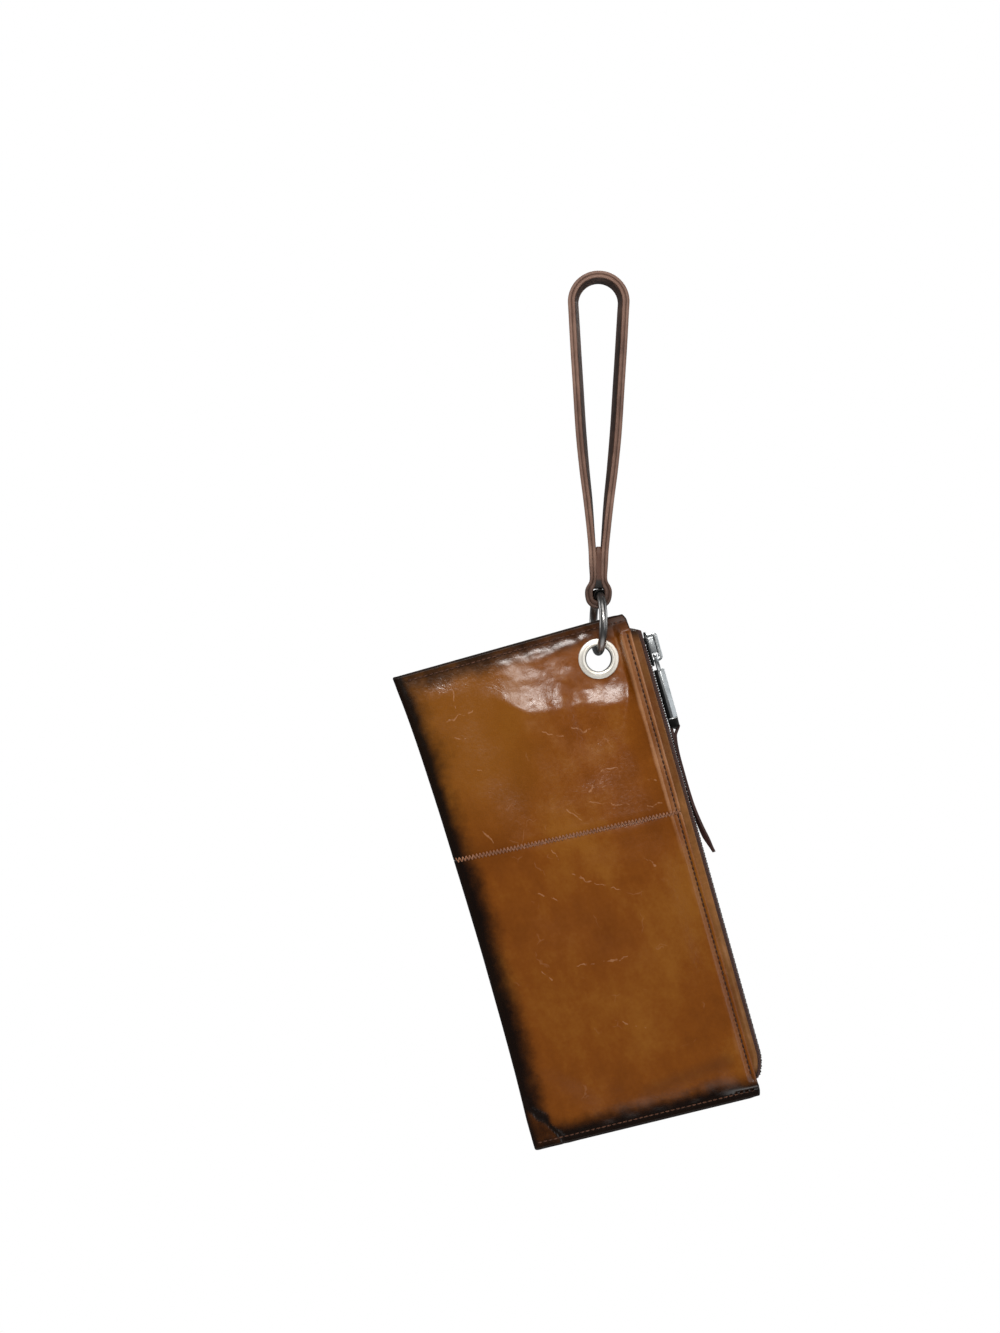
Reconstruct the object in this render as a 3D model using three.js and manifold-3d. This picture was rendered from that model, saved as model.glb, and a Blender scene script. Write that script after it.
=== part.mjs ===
// A zipped leather wristlet, hanging by its wrist strap.
// Millimetres, +Z up. The origin is inside the top of the strap's loop, where a peg or a hand holds it.
// The front faces -Y. The pouch hangs askew from its eyelet, its fold on the left and its zip on the right.
// The pouch is modelled in a frame of its own: x runs from the fold to the zip, y from front to back and
// z up its length, with the eyelet's centre at zero.

import * as THREE from 'three';
import { mergeVertices } from 'three/addons/utils/BufferGeometryUtils.js';
import Module from 'manifold-3d';

const wasm = await Module();
wasm.setup();

// Clearances and the hang of the pouch
const GAP = 0.3;
const PAST = 3;
const WELD = 1e-4;
const POUCH_TILT = 15.7;
const EYELET_DROP = 166.2;

// Leather envelope: wall thickness, sewn margin of the short ends, and the seam across the middle
const WALL = 1.6;
const END_MARGIN = 4;
const TOP_ABOVE_EYELET = 16.5;
const SEAM_DOWN = 87.7;
const LEAST_STEP = 1;
const FOLD_STEPS = 4;
const ACROSS_STEPS = 17;
const ACROSS_CROWDING = 1.5;

// Sections of the envelope, down from its top edge: where the fold and the zip edge lie across, how much
// lower the zip end of the section lies than its fold end, and how far belly and mouth open each wall.
const SECTIONS = [
  { down: 0, fold: -89.6, edge: 15.4, slant: 0, belly: 0, mouth: 0 },
  { down: 3.2, fold: -89.3, edge: 16.9, slant: 0.1, belly: 0, mouth: 0.2 },
  { down: 8, fold: -88.9, edge: 17, slant: 0.4, belly: 0.4, mouth: 4.6 },
  { down: 12, fold: -88.5, edge: 17, slant: 0.6, belly: 1.2, mouth: 4.6 },
  { down: 24, fold: -87.6, edge: 17, slant: 1.5, belly: 3, mouth: 4.6 },
  { down: 37, fold: -86.9, edge: 17, slant: 2.6, belly: 4.4, mouth: 4.6 },
  { down: 52, fold: -86.3, edge: 17, slant: 3.8, belly: 5.4, mouth: 4.6 },
  { down: 70, fold: -85.7, edge: 17, slant: 5, belly: 5.8, mouth: 4.6 },
  { down: 88, fold: -85.3, edge: 17, slant: 5.8, belly: 5.8, mouth: 4.6 },
  { down: 110, fold: -84.8, edge: 17, slant: 5.6, belly: 6.2, mouth: 4.6 },
  { down: 135, fold: -84.5, edge: 17, slant: 5.2, belly: 6.2, mouth: 4.6 },
  { down: 160, fold: -84.5, edge: 17, slant: 4.8, belly: 5.6, mouth: 4.6 },
  { down: 182, fold: -84.7, edge: 17, slant: 4.3, belly: 4.4, mouth: 4.6 },
  { down: 197, fold: -85.1, edge: 17, slant: 4, belly: 2.8, mouth: 4.6 },
  { down: 207, fold: -85.4, edge: 17, slant: 3.8, belly: 1.3, mouth: 4.6 },
  { down: 211, fold: -85.4, edge: 17.1, slant: 3.7, belly: 0.5, mouth: 4.6 },
  { down: 216, fold: -85.4, edge: 17.4, slant: 3.6, belly: 0, mouth: 0.1 },
  { down: 219, fold: -85.3, edge: 16.6, slant: 3.6, belly: 0, mouth: 0 },
];
const LENGTH = SECTIONS.at(-1).down;

// Shape of one section, across from the fold to the zip edge, as a share of its belly
const CROSS_SECTION = [
  { across: 0, lift: 0 },
  { across: 0.05, lift: 0.24 },
  { across: 0.14, lift: 0.56 },
  { across: 0.3, lift: 0.88 },
  { across: 0.52, lift: 1 },
  { across: 0.76, lift: 0.96 },
  { across: 1, lift: 0.8 },
];
// The mouth takes over from the belly between these distances from the zip edge
const MOUTH_FULL = 4.3;
const MOUTH_START = 7.6;

// Places where the two walls are drawn flat together: the eyelet and the lower fold corner
const PINCHES = [
  { across: 0, down: 16.5, flat: 13, reach: 46 },
  { across: -85.4, down: 219, flat: 17, reach: 38 },
];
// Soft ridges of the leather, each from one place to another: the shelf under the eyelet, the drape beside it
// and the shallow dents of the lower half
const RIDGES = [
  { fromAcross: -18, fromDown: 37, toAcross: 10, toDown: 38, rise: 0.9, width: 6 },
  { fromAcross: -52, fromDown: 14, toAcross: -24, toDown: 31, rise: 0.8, width: 7 },
  { fromAcross: -60, fromDown: 118, toAcross: -12, toDown: 136, rise: -0.6, width: 13 },
  { fromAcross: -30, fromDown: 176, toAcross: 4, toDown: 190, rise: 0.5, width: 10 },
];

// Eyelet: a spool of metal through both walls
const EYELET_HOLE = 11;
const EYELET_BARREL = 12.6;
const EYELET_FLANGE = 17.8;
const FLANGE_THICK = 1;
const FLANGE_ROUND = 0.9;
const LIP_OUT = 1.1;
const LIP_DEEP = 0.3;
const EYELET_SIDES = 36;

// Round ring that joins the eyelet to the strap
const RING_OUTER = 29;
const RING_WIRE = 3.6;
const RING_TURN = 8;
const RING_ABOVE_EYELET = 3.1;
const RING_STEPS = 40;
const WIRE_SIDES = 12;

// Wrist strap: its leather, the peg it hangs round, and half the distance between its legs at each level
const STRAP_WIDTH = 9.5;
const STRAP_THICK = 3.2;
const PEG_RADIUS = 9.5;
const PEG_STEPS = 16;
const STRAP_LEGS = [
  { down: 9.5, spread: 11.1, twist: 12 },
  { down: 30.4, spread: 9.9, twist: 13 },
  { down: 48, spread: 8.8, twist: 13 },
  { down: 65.6, spread: 7.7, twist: 13 },
  { down: 83.2, spread: 6.1, twist: 11 },
  { down: 96.4, spread: 4.6, twist: 8 },
  { down: 109.6, spread: 3.4, twist: 4 },
  { down: 120.6, spread: 2.6, twist: 1 },
  { down: 131.5, spread: 2.3, twist: 0 },
];
const LEG_STEPS = 18;
// The eye that holds the ring, and the strap's end sewn between the legs above it
const EYE_THICK = 2.6;
const EYE_STEPS = 24;
const EYE = [
  { down: 130.5, spread: 0 },
  { down: 132.4, spread: 2.8 },
  { down: 136.8, spread: 4.5 },
  { down: 141, spread: 3.8 },
  { down: 142.8, spread: 0 },
];
const NECK_TOP = 117;
const NECK_BOTTOM = 133;
const NECK_FILL = 2.6;

// Zip: facings and tapes stand on either side of the chain, all along the mouth
const ZIP_FROM = 8.3;
const ZIP_TO = 212.7;
const FACING_THICK = 1.2;
const FACING_UNDER = 2.7;
const FACING_OUT = 2.7;
const TAPE_THICK = 0.8;
const TAPE_OUT = 4;
const CHAIN_WIDTH = 4;
const CHAIN_OUT = 4.6;
const CHAIN_THICK = 2;
const CHAIN_FROM = 16.5;

// Slider: two plates on a post, with a bridge for the pull
const SLIDER_LENGTH = 14;
const SLIDER_FROM = 12.2;
const PLATE_THICK = 1.2;
const TOP_PLATE_WIDTH = 7.6;
const LOW_PLATE_WIDTH = 3.6;
const PLATE_NOTCH = 0.8;
const PLATE_SHOULDER = 1.5;
const PLATE_WAIST = 0.45;
const PLATE_TAIL = 0.75;
const POST_INSET = 0.9;
const POST_LENGTH = 3;
const POST_WIDTH = 2.2;
const BRIDGE_WIDTH = 2;
const BRIDGE_BAR = 1.5;
const BRIDGE_WINDOW = 2.5;
const BRIDGE_LENGTH = 11.5;
const BRIDGE_INSET = 1.6;
const BRIDGE_ROUND = 1.2;

// Pull: an eye on the bridge, a thick bar and a slot for the leather strip
const PULL_PIN = 1.6;
const PIN_SIDES = 14;
const PULL_CLEAR = 0.4;
const PULL_EYE_WIDTH = 5.4;
const PULL_ARM = 1.2;
const PULL_BAR_FROM = 6.2;
const PULL_LENGTH = 33.5;
const PULL_BAR_WIDTH = 5;
const PULL_BAR_THICK = 4.6;
const PULL_CHAMFER = 0.7;
const PULL_SLOT_LONG = 3;
const PULL_SLOT_WIDE = 3.6;
const PULL_END_BAR = 1.7;

// Leather strip, folded through the pull's slot: where its two layers hang, and half their thickness
const STRIP_WIDTH = 3;
const STRIP_LEATHER = 1;
const STRIP = [
  { down: 0, out: 0, half: 1.5 },
  { down: 12, out: -0.7, half: 1.45 },
  { down: 26, out: -0.6, half: 1.35 },
  { down: 40, out: 0, half: 1.15 },
  { down: 50, out: 0.8, half: 0.8 },
  { down: 55, out: 1.4, half: 0.4 },
];
const STRIP_STEPS = 11;

// Finishes
const caramelLeather = { color: 0x7d4612, roughness: 0.38, metalness: 0 };
const strapLeather = { color: 0x6e5041, roughness: 0.5, metalness: 0 };
const darkLeather = { color: 0x24150f, roughness: 0.5, metalness: 0 };
const zipCloth = { color: 0x3a1c12, roughness: 0.9, metalness: 0 };
const brightNickel = { color: 0xdedbd2, roughness: 0.22, metalness: 1 };
const darkNickel = { color: 0x5b5a58, roughness: 0.18, metalness: 1 };
const agedBrass = { color: 0x2c2420, roughness: 0.4, metalness: 1 };

const { degToRad, smoothstep, clamp, lerp } = THREE.MathUtils;

// A table's column at a place between two of its rows, smooth and without overshoot
function along(rows, place, column, at) {
  const last = rows.length - 2;
  const above = rows.findIndex((entry) => entry[place] > at);
  const row = above < 0 ? last : clamp(above - 1, 0, last);
  const step = (k) => rows[k + 1][place] - rows[k][place];
  const slope = (k) => (rows[k + 1][column] - rows[k][column]) / step(k);
  const tangent = (k) => {
    const before = slope(Math.max(k - 1, 0));
    const after = slope(Math.min(k, last));
    return before * after > 0 ? (2 * before * after) / (before + after) : 0;
  };
  const t = clamp((at - rows[row][place]) / step(row), 0, 1);
  const rise = smoothstep(t, 0, 1);
  const value = lerp(rows[row][column], rows[row + 1][column], rise);
  const lean = t * (1 - t) * ((1 - t) * tangent(row) - t * tangent(row + 1));
  return value + step(row) * lean;
}

// A closed geometry from rings of points, joined in order, with its faces turned outward. An open row of
// rings gets an end face at each end, filled from the ring's flat outline.
function loft(rings, flatOutline) {
  const count = rings[0].length;
  const closed = !flatOutline;
  const spans = closed ? rings.length : rings.length - 1;
  const triangles = [];
  for (let r = 0; r < spans; r += 1) {
    const here = r * count;
    const next = ((r + 1) % rings.length) * count;
    for (let p = 0; p < count; p += 1) {
      const q = (p + 1) % count;
      triangles.push([here + p, here + q, next + q], [here + p, next + q, next + p]);
    }
  }
  if (!closed) {
    const far = (rings.length - 1) * count;
    for (const [a, b, c] of THREE.ShapeUtils.triangulateShape(flatOutline, [])) {
      triangles.push([c, b, a], [far + a, far + b, far + c]);
    }
  }
  const points = rings.flat();
  const volume = triangles.reduce((sum, [a, b, c]) => {
    return sum + points[a].dot(points[b].clone().cross(points[c]));
  }, 0);
  const faces = volume < 0 ? triangles.map(([a, b, c]) => [a, c, b]) : triangles;
  const geometry = new THREE.BufferGeometry().setFromPoints(points);
  geometry.setIndex(faces.flat());
  return geometry;
}

// Solids for joining and cutting, and back again
function solidOf(geometry) {
  const bare = geometry.clone();
  bare.deleteAttribute('normal');
  bare.deleteAttribute('uv');
  const merged = mergeVertices(bare, WELD);
  const vertProperties = new Float32Array(merged.attributes.position.array);
  const triVerts = new Uint32Array(merged.index.array);
  return new wasm.Manifold(new wasm.Mesh({ numProp: 3, vertProperties, triVerts }));
}

function geometryOf(solid) {
  const { vertProperties, triVerts } = solid.getMesh();
  const geometry = new THREE.BufferGeometry();
  geometry.setAttribute('position', new THREE.BufferAttribute(vertProperties, 3));
  geometry.setIndex(new THREE.BufferAttribute(triVerts, 1));
  return geometry;
}

function piece(name, geometry, finish) {
  const mesh = new THREE.Mesh(geometry, new THREE.MeshStandardMaterial(finish));
  mesh.name = name;
  return mesh;
}

// A box given by its lowest and highest corners
function block([x0, y0, z0], [x1, y1, z1]) {
  const box = new THREE.BoxGeometry(x1 - x0, y1 - y0, z1 - z0);
  return box.translate((x0 + x1) / 2, (y0 + y1) / 2, (z0 + z1) / 2);
}

const PLAIN_EXTRUDE = { bevelEnabled: false, curveSegments: 5 };

// A flat outline, drawn either in the pouch's side view (x, z) and given its width along y, or in the view
// from the zip (y, z) and given its thickness along x
function sideExtrude(shape, width) {
  const geometry = new THREE.ExtrudeGeometry(shape, { ...PLAIN_EXTRUDE, depth: width });
  const [x, y, z] = [new THREE.Vector3(1, 0, 0), new THREE.Vector3(0, 0, 1), new THREE.Vector3(0, -1, 0)];
  return geometry.translate(0, 0, -width / 2).applyMatrix4(new THREE.Matrix4().makeBasis(x, y, z));
}

function endExtrude(shape, from, thick) {
  const geometry = new THREE.ExtrudeGeometry(shape, { ...PLAIN_EXTRUDE, depth: thick });
  const [x, y, z] = [new THREE.Vector3(0, 1, 0), new THREE.Vector3(0, 0, 1), new THREE.Vector3(1, 0, 0)];
  return geometry.translate(0, 0, from).applyMatrix4(new THREE.Matrix4().makeBasis(x, y, z));
}

const heightAt = (down) => TOP_ABOVE_EYELET - down;
const section = (column, down) => along(SECTIONS, 'down', column, down);

// Height of the soft ridges at a place on the pouch: each falls off as a bell on either side of its line
function ridgesAt(across, down) {
  return RIDGES.reduce((sum, ridge) => {
    const run = new THREE.Vector2(ridge.toAcross - ridge.fromAcross, ridge.toDown - ridge.fromDown);
    const here = new THREE.Vector2(across - ridge.fromAcross, down - ridge.fromDown);
    const share = clamp(here.dot(run) / run.lengthSq(), 0, 1);
    const off = here.sub(run.multiplyScalar(share)).length();
    return sum + ridge.rise * Math.exp(-((off / ridge.width) ** 2));
  }, 0);
}

// Half the space between the two walls: the belly, flattened at each pinch, with the mouth along the zip edge
function halfSpace(across, down) {
  const fold = section('fold', down);
  const edge = section('edge', down);
  const share = clamp((across - fold) / (edge - fold), 0, 1);
  const lift = along(CROSS_SECTION, 'across', 'lift', share);
  const pinch = PINCHES.reduce((free, dent) => {
    const off = Math.hypot(across - dent.across, down - dent.down);
    return free * smoothstep(off, dent.flat, dent.reach);
  }, 1);
  const swell = section('belly', down) * lift;
  const ridges = ridgesAt(across, down) * Math.min(1, swell / WALL);
  const mouthShare = 1 - smoothstep(edge - across, MOUTH_FULL, MOUTH_START);
  return GAP + lerp((swell + ridges) * pinch, section('mouth', down), mouthShare);
}

// One ring round the envelope at a level: front wall from the fold to the zip edge, then back again. grow
// moves it out from the inner face of the leather, and past carries it beyond the zip edge.
function envelopeRing(down, grow, past) {
  const fold = section('fold', down);
  const edge = section('edge', down);
  const centre = fold + WALL + GAP;
  const place = (across, depth) => {
    const lower = section('slant', down) * ((across - fold) / (edge - fold) - 0.5);
    return new THREE.Vector3(across, depth, heightAt(down + lower));
  };
  const front = [];
  for (let k = 0; k <= FOLD_STEPS; k += 1) {
    const turn = ((k / FOLD_STEPS) * Math.PI) / 2;
    front.push([centre - (GAP + grow) * Math.cos(turn), (GAP + grow) * Math.sin(turn)]);
  }
  for (let k = 1; k <= ACROSS_STEPS; k += 1) {
    const across = edge - (edge - centre) * (1 - k / ACROSS_STEPS) ** ACROSS_CROWDING;
    front.push([across, halfSpace(across, down) + grow]);
  }
  if (past > 0) {
    front.push([edge + past, front.at(-1)[1]]);
  }
  const back = front.slice(1).reverse();
  return [...front.map(([a, d]) => place(a, -d)), ...back.map(([a, d]) => place(a, d))];
}

// The envelope between two levels, as one solid: a ring at each section and half-way to the next
function envelope(from, to, grow, past) {
  const within = (down) => down > from + LEAST_STEP && down < to - LEAST_STEP;
  const inside = SECTIONS.map((row) => row.down).filter(within);
  const main = [from, ...inside, to];
  const levels = main.flatMap((down, i) => (i ? [(main[i - 1] + down) / 2, down] : [down]));
  const rings = levels.map((down) => envelopeRing(down, grow, past));
  return solidOf(loft(rings, rings[0].map((point) => new THREE.Vector2(point.x, point.y))));
}

function eyeletHole() {
  const radius = EYELET_BARREL / 2 + GAP;
  return solidOf(new THREE.CylinderGeometry(radius, radius, EYELET_FLANGE, EYELET_SIDES));
}

function buildUpper() {
  const outside = envelope(0, SEAM_DOWN - GAP / 2, WALL, 0);
  const hollow = envelope(END_MARGIN, SEAM_DOWN + PAST, 0, PAST);
  const wrap = outside.subtract(hollow).subtract(eyeletHole());
  return piece('body_upper', geometryOf(wrap), caramelLeather);
}

function buildLower() {
  const outside = envelope(SEAM_DOWN + GAP / 2, LENGTH, WALL, 0);
  const hollow = envelope(SEAM_DOWN - PAST, LENGTH - END_MARGIN, 0, PAST);
  return piece('body_lower', geometryOf(outside.subtract(hollow)), caramelLeather);
}

// Eyelet, turned about the y axis: barrel, two flanges and rounded lips
function buildEyelet() {
  const hole = EYELET_HOLE / 2;
  const seat = WALL + 2 * GAP;
  const face = seat + FLANGE_THICK;
  const half = [
    [EYELET_BARREL / 2, 0],
    [EYELET_BARREL / 2, seat],
    [EYELET_FLANGE / 2, seat],
    [EYELET_FLANGE / 2 - FLANGE_ROUND / 4, (seat + face) / 2],
    [EYELET_FLANGE / 2 - FLANGE_ROUND, face],
    [hole + LIP_OUT, face],
    [hole + LIP_OUT / 3, face - LIP_DEEP],
    [hole, seat],
  ];
  const mirrored = half.slice(1).reverse().map(([radius, y]) => [radius, -y]);
  const profile = [...half, ...mirrored, half[0]].map(([radius, y]) => new THREE.Vector2(radius, y));
  return piece('eyelet', new THREE.LatheGeometry(profile, EYELET_SIDES), brightNickel);
}

const RING_RADIUS = (RING_OUTER - RING_WIRE) / 2;
const RING_CENTRE_DROP = EYELET_DROP - RING_ABOVE_EYELET - RING_RADIUS;

function buildRing() {
  const torus = new THREE.TorusGeometry(RING_RADIUS, RING_WIRE / 2, WIRE_SIDES, RING_STEPS);
  torus.rotateY(Math.PI / 2);
  const ring = piece('strap_ring', torus, darkNickel);
  ring.position.z = -RING_CENTRE_DROP;
  ring.rotation.z = degToRad(RING_TURN);
  return ring;
}

// A flat strap of leather along stations in the xz plane, clockwise in the front view. Its back edge leans in
// toward the middle of the loop by each station's twist.
function strapSolid(stations, width, thick, closed) {
  const rings = stations.map(({ x, z, twist }, i) => {
    const before = stations[closed ? (i + stations.length - 1) % stations.length : Math.max(i - 1, 0)];
    const after = stations[closed ? (i + 1) % stations.length : Math.min(i + 1, stations.length - 1)];
    const outward = new THREE.Vector3(before.z - after.z, 0, after.x - before.x).normalize();
    const lean = degToRad(twist);
    const back = new THREE.Vector3(0, Math.cos(lean), 0).addScaledVector(outward, -Math.sin(lean));
    const face = outward.clone().multiplyScalar(Math.cos(lean)).add(new THREE.Vector3(0, Math.sin(lean), 0));
    const centre = new THREE.Vector3(x, 0, z);
    const corner = (w, t) => {
      return centre.clone().addScaledVector(back, (w * width) / 2).addScaledVector(face, (t * thick) / 2);
    };
    return [corner(-1, -1), corner(1, -1), corner(1, 1), corner(-1, 1)];
  });
  const flat = [[-1, -1], [1, -1], [1, 1], [-1, 1]].map(([w, t]) => new THREE.Vector2(w, t));
  return solidOf(loft(rings, closed ? null : flat));
}

// Wrist strap: up the left leg, over the peg and down the right leg, with the eye under the sewn neck
function buildStrap() {
  const leg = (side, down) => ({
    x: side * along(STRAP_LEGS, 'down', 'spread', down),
    z: -down,
    twist: along(STRAP_LEGS, 'down', 'twist', down),
  });
  const from = STRAP_LEGS[0];
  const bottom = STRAP_LEGS.at(-1).down;
  const levels = Array.from({ length: LEG_STEPS + 1 }, (_, k) => lerp(from.down, bottom, k / LEG_STEPS));
  const leftUp = levels.toReversed().map((down) => leg(-1, down));
  const rightDown = levels.map((down) => leg(1, down));
  const over = Array.from({ length: PEG_STEPS - 1 }, (_, k) => {
    const turn = Math.PI * (1 - (k + 1) / PEG_STEPS);
    return {
      x: from.spread * Math.cos(turn),
      z: from.spread * Math.sin(turn) - PEG_RADIUS,
      twist: from.twist,
    };
  });
  const loop = strapSolid([...leftUp, ...over, ...rightDown], STRAP_WIDTH, STRAP_THICK, false);

  const eyePoints = [
    ...EYE.map((row) => new THREE.Vector3(row.spread, 0, -row.down)),
    ...EYE.slice(1, -1).reverse().map((row) => new THREE.Vector3(-row.spread, 0, -row.down)),
  ];
  const eyeCurve = new THREE.CatmullRomCurve3(eyePoints, true, 'centripetal');
  const eyeLine = eyeCurve.getSpacedPoints(EYE_STEPS).slice(0, -1);
  const eyeStations = eyeLine.map(({ x, z }) => ({ x, z, twist: 0 }));
  const eye = strapSolid(eyeStations, STRAP_WIDTH, EYE_THICK, true);

  const half = [NECK_FILL / 2, STRAP_WIDTH / 2 - GAP];
  const fill = solidOf(block([-half[0], -half[1], -NECK_BOTTOM], [half[0], half[1], -NECK_TOP]));
  return piece('wrist_strap', geometryOf(loop.add(eye).add(fill)), strapLeather);
}

const EDGE = section('edge', SEAM_DOWN);
const MOUTH = section('mouth', SEAM_DOWN);

// Strips on both sides of the zip: a leather facing under each wall and a woven tape under each facing
function buildZipStrips() {
  const facingIn = MOUTH - FACING_THICK;
  const tapeOut = facingIn - GAP;
  const rows = [
    { name: 'zip_facing', near: facingIn, thick: FACING_THICK, reach: FACING_OUT, finish: caramelLeather },
    { name: 'zip_tape', near: tapeOut - TAPE_THICK, thick: TAPE_THICK, reach: TAPE_OUT, finish: zipCloth },
  ];
  return rows.flatMap(({ name, near, thick, reach, finish }) => {
    const strip = (from, to) => block(
      [EDGE - FACING_UNDER, from, heightAt(ZIP_TO)],
      [EDGE + reach, to, heightAt(ZIP_FROM)],
    );
    return [
      piece(`${name}_front`, strip(-near - thick, -near), finish),
      piece(`${name}_back`, strip(near, near + thick), finish),
    ];
  });
}

const CHAIN_TOP = EDGE + CHAIN_OUT;

function buildChain() {
  const half = CHAIN_WIDTH / 2;
  const bar = block(
    [CHAIN_TOP - CHAIN_THICK, -half, heightAt(ZIP_TO)],
    [CHAIN_TOP, half, heightAt(CHAIN_FROM)],
  );
  return piece('zip_chain', bar, agedBrass);
}

// Slider, closed at the upper end of the zip. Its plates are wider above, where the two rows of teeth part.
const PLATE_FROM = CHAIN_TOP + GAP;
const PLATE_FACE = PLATE_FROM + PLATE_THICK;
const SLIDER_TOP = heightAt(SLIDER_FROM);
const SLIDER_LOW = SLIDER_TOP - SLIDER_LENGTH;

function plateShape(width) {
  const half = width / 2;
  const tail = half * PLATE_TAIL;
  const shoulder = SLIDER_TOP - PLATE_SHOULDER;
  const waist = SLIDER_TOP - SLIDER_LENGTH * PLATE_WAIST;
  const outline = [
    [0, SLIDER_TOP - PLATE_NOTCH], [tail, SLIDER_TOP], [half, shoulder], [half, waist],
    [tail, SLIDER_LOW], [-tail, SLIDER_LOW], [-half, waist], [-half, shoulder], [-tail, SLIDER_TOP],
  ];
  return new THREE.Shape(outline.map(([y, z]) => new THREE.Vector2(y, z)));
}

// A rectangle with its corners rounded, from its lowest and highest corners
function roundedOutline(path, [x0, z0], [x1, z1], round) {
  path.moveTo(x0 + round, z0);
  path.lineTo(x1 - round, z0);
  path.absarc(x1 - round, z0 + round, round, -Math.PI / 2, 0);
  path.lineTo(x1, z1 - round);
  path.absarc(x1 - round, z1 - round, round, 0, Math.PI / 2);
  path.lineTo(x0 + round, z1);
  path.absarc(x0 + round, z1 - round, round, Math.PI / 2, Math.PI);
  path.lineTo(x0, z0 + round);
  path.absarc(x0 + round, z0 + round, round, Math.PI, 1.5 * Math.PI);
  return path;
}

const BRIDGE_LOW = SLIDER_LOW + BRIDGE_INSET;
const BRIDGE_TOP = BRIDGE_LOW + BRIDGE_LENGTH;
const WINDOW_TOP = PLATE_FACE + BRIDGE_WINDOW;

function buildSlider() {
  const topPlate = solidOf(endExtrude(plateShape(TOP_PLATE_WIDTH), PLATE_FROM, PLATE_THICK));
  const lowPlateTop = CHAIN_TOP - CHAIN_THICK - GAP;
  const lowPlate = solidOf(endExtrude(plateShape(LOW_PLATE_WIDTH), lowPlateTop - PLATE_THICK, PLATE_THICK));
  const post = solidOf(block(
    [lowPlateTop - PLATE_THICK / 2, -POST_WIDTH / 2, SLIDER_TOP - POST_INSET - POST_LENGTH],
    [PLATE_FROM + PLATE_THICK / 2, POST_WIDTH / 2, SLIDER_TOP - POST_INSET],
  ));
  const arch = roundedOutline(
    new THREE.Shape(),
    [PLATE_FROM + PLATE_THICK / 2, BRIDGE_LOW],
    [WINDOW_TOP + BRIDGE_BAR, BRIDGE_TOP],
    BRIDGE_ROUND / 2,
  );
  arch.holes.push(roundedOutline(
    new THREE.Path(),
    [PLATE_FACE, BRIDGE_LOW + BRIDGE_BAR],
    [WINDOW_TOP, BRIDGE_TOP - BRIDGE_BAR],
    BRIDGE_ROUND,
  ));
  const bridge = solidOf(sideExtrude(arch, BRIDGE_WIDTH));
  return piece('zip_slider', geometryOf(topPlate.add(lowPlate).add(post).add(bridge)), brightNickel);
}

// The pull turns about a pin that lies in the bridge's window, at its lower end
const PIN_X = PLATE_FACE + BRIDGE_WINDOW / 2;
const PIN_Z = BRIDGE_LOW + BRIDGE_BAR + BRIDGE_WINDOW / 2;
const BAR_IN = CHAIN_TOP + PULL_CLEAR;

function buildPull() {
  const pin = new THREE.CylinderGeometry(PULL_PIN / 2, PULL_PIN / 2, PULL_EYE_WIDTH, PIN_SIDES);
  pin.translate(PIN_X, 0, PIN_Z);
  const barTop = PIN_Z - PULL_BAR_FROM;
  const barLow = PIN_Z - PULL_LENGTH;
  const armFrom = PULL_EYE_WIDTH / 2 - PULL_ARM;
  const half = PULL_PIN / 2;
  const arms = [-1, 1].map((side) => {
    const [y0, y1] = [side * armFrom, side * (PULL_EYE_WIDTH / 2)].sort((a, b) => a - b);
    return solidOf(block([PIN_X - half, y0, barTop - half], [PIN_X + half, y1, PIN_Z]));
  });
  const w = PULL_BAR_WIDTH / 2;
  const c = PULL_CHAMFER;
  const [x0, x1] = [BAR_IN, BAR_IN + PULL_BAR_THICK];
  const bevelled = [
    [x0 + c, -w], [x1 - c, -w], [x1, -w + c], [x1, w - c],
    [x1 - c, w], [x0 + c, w], [x0, w - c], [x0, -w + c],
  ];
  const outline = bevelled.map(([x, y]) => new THREE.Vector2(x, y));
  const ring = (z) => outline.map((point) => new THREE.Vector3(point.x, point.y, z));
  const bar = solidOf(loft([ring(barLow), ring(barTop)], outline));
  const slot = solidOf(block(
    [x0 - PAST, -PULL_SLOT_WIDE / 2, barLow + PULL_END_BAR],
    [x1 + PAST, PULL_SLOT_WIDE / 2, barLow + PULL_END_BAR + PULL_SLOT_LONG],
  ));
  const middle = (x0 + x1) / 2;
  const relief = [[x0 - PAST, middle - half], [middle + half, x1 + PAST]].map(([from, to]) => {
    return solidOf(block([from, -w - PAST, barLow - PAST], [to, w + PAST, barLow + PULL_END_BAR]));
  });
  const whole = arms.reduce((sum, arm) => sum.add(arm), solidOf(pin).add(bar)).subtract(slot);
  return piece('zip_pull', geometryOf(relief.reduce((sum, cut) => sum.subtract(cut), whole)), brightNickel);
}

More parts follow.
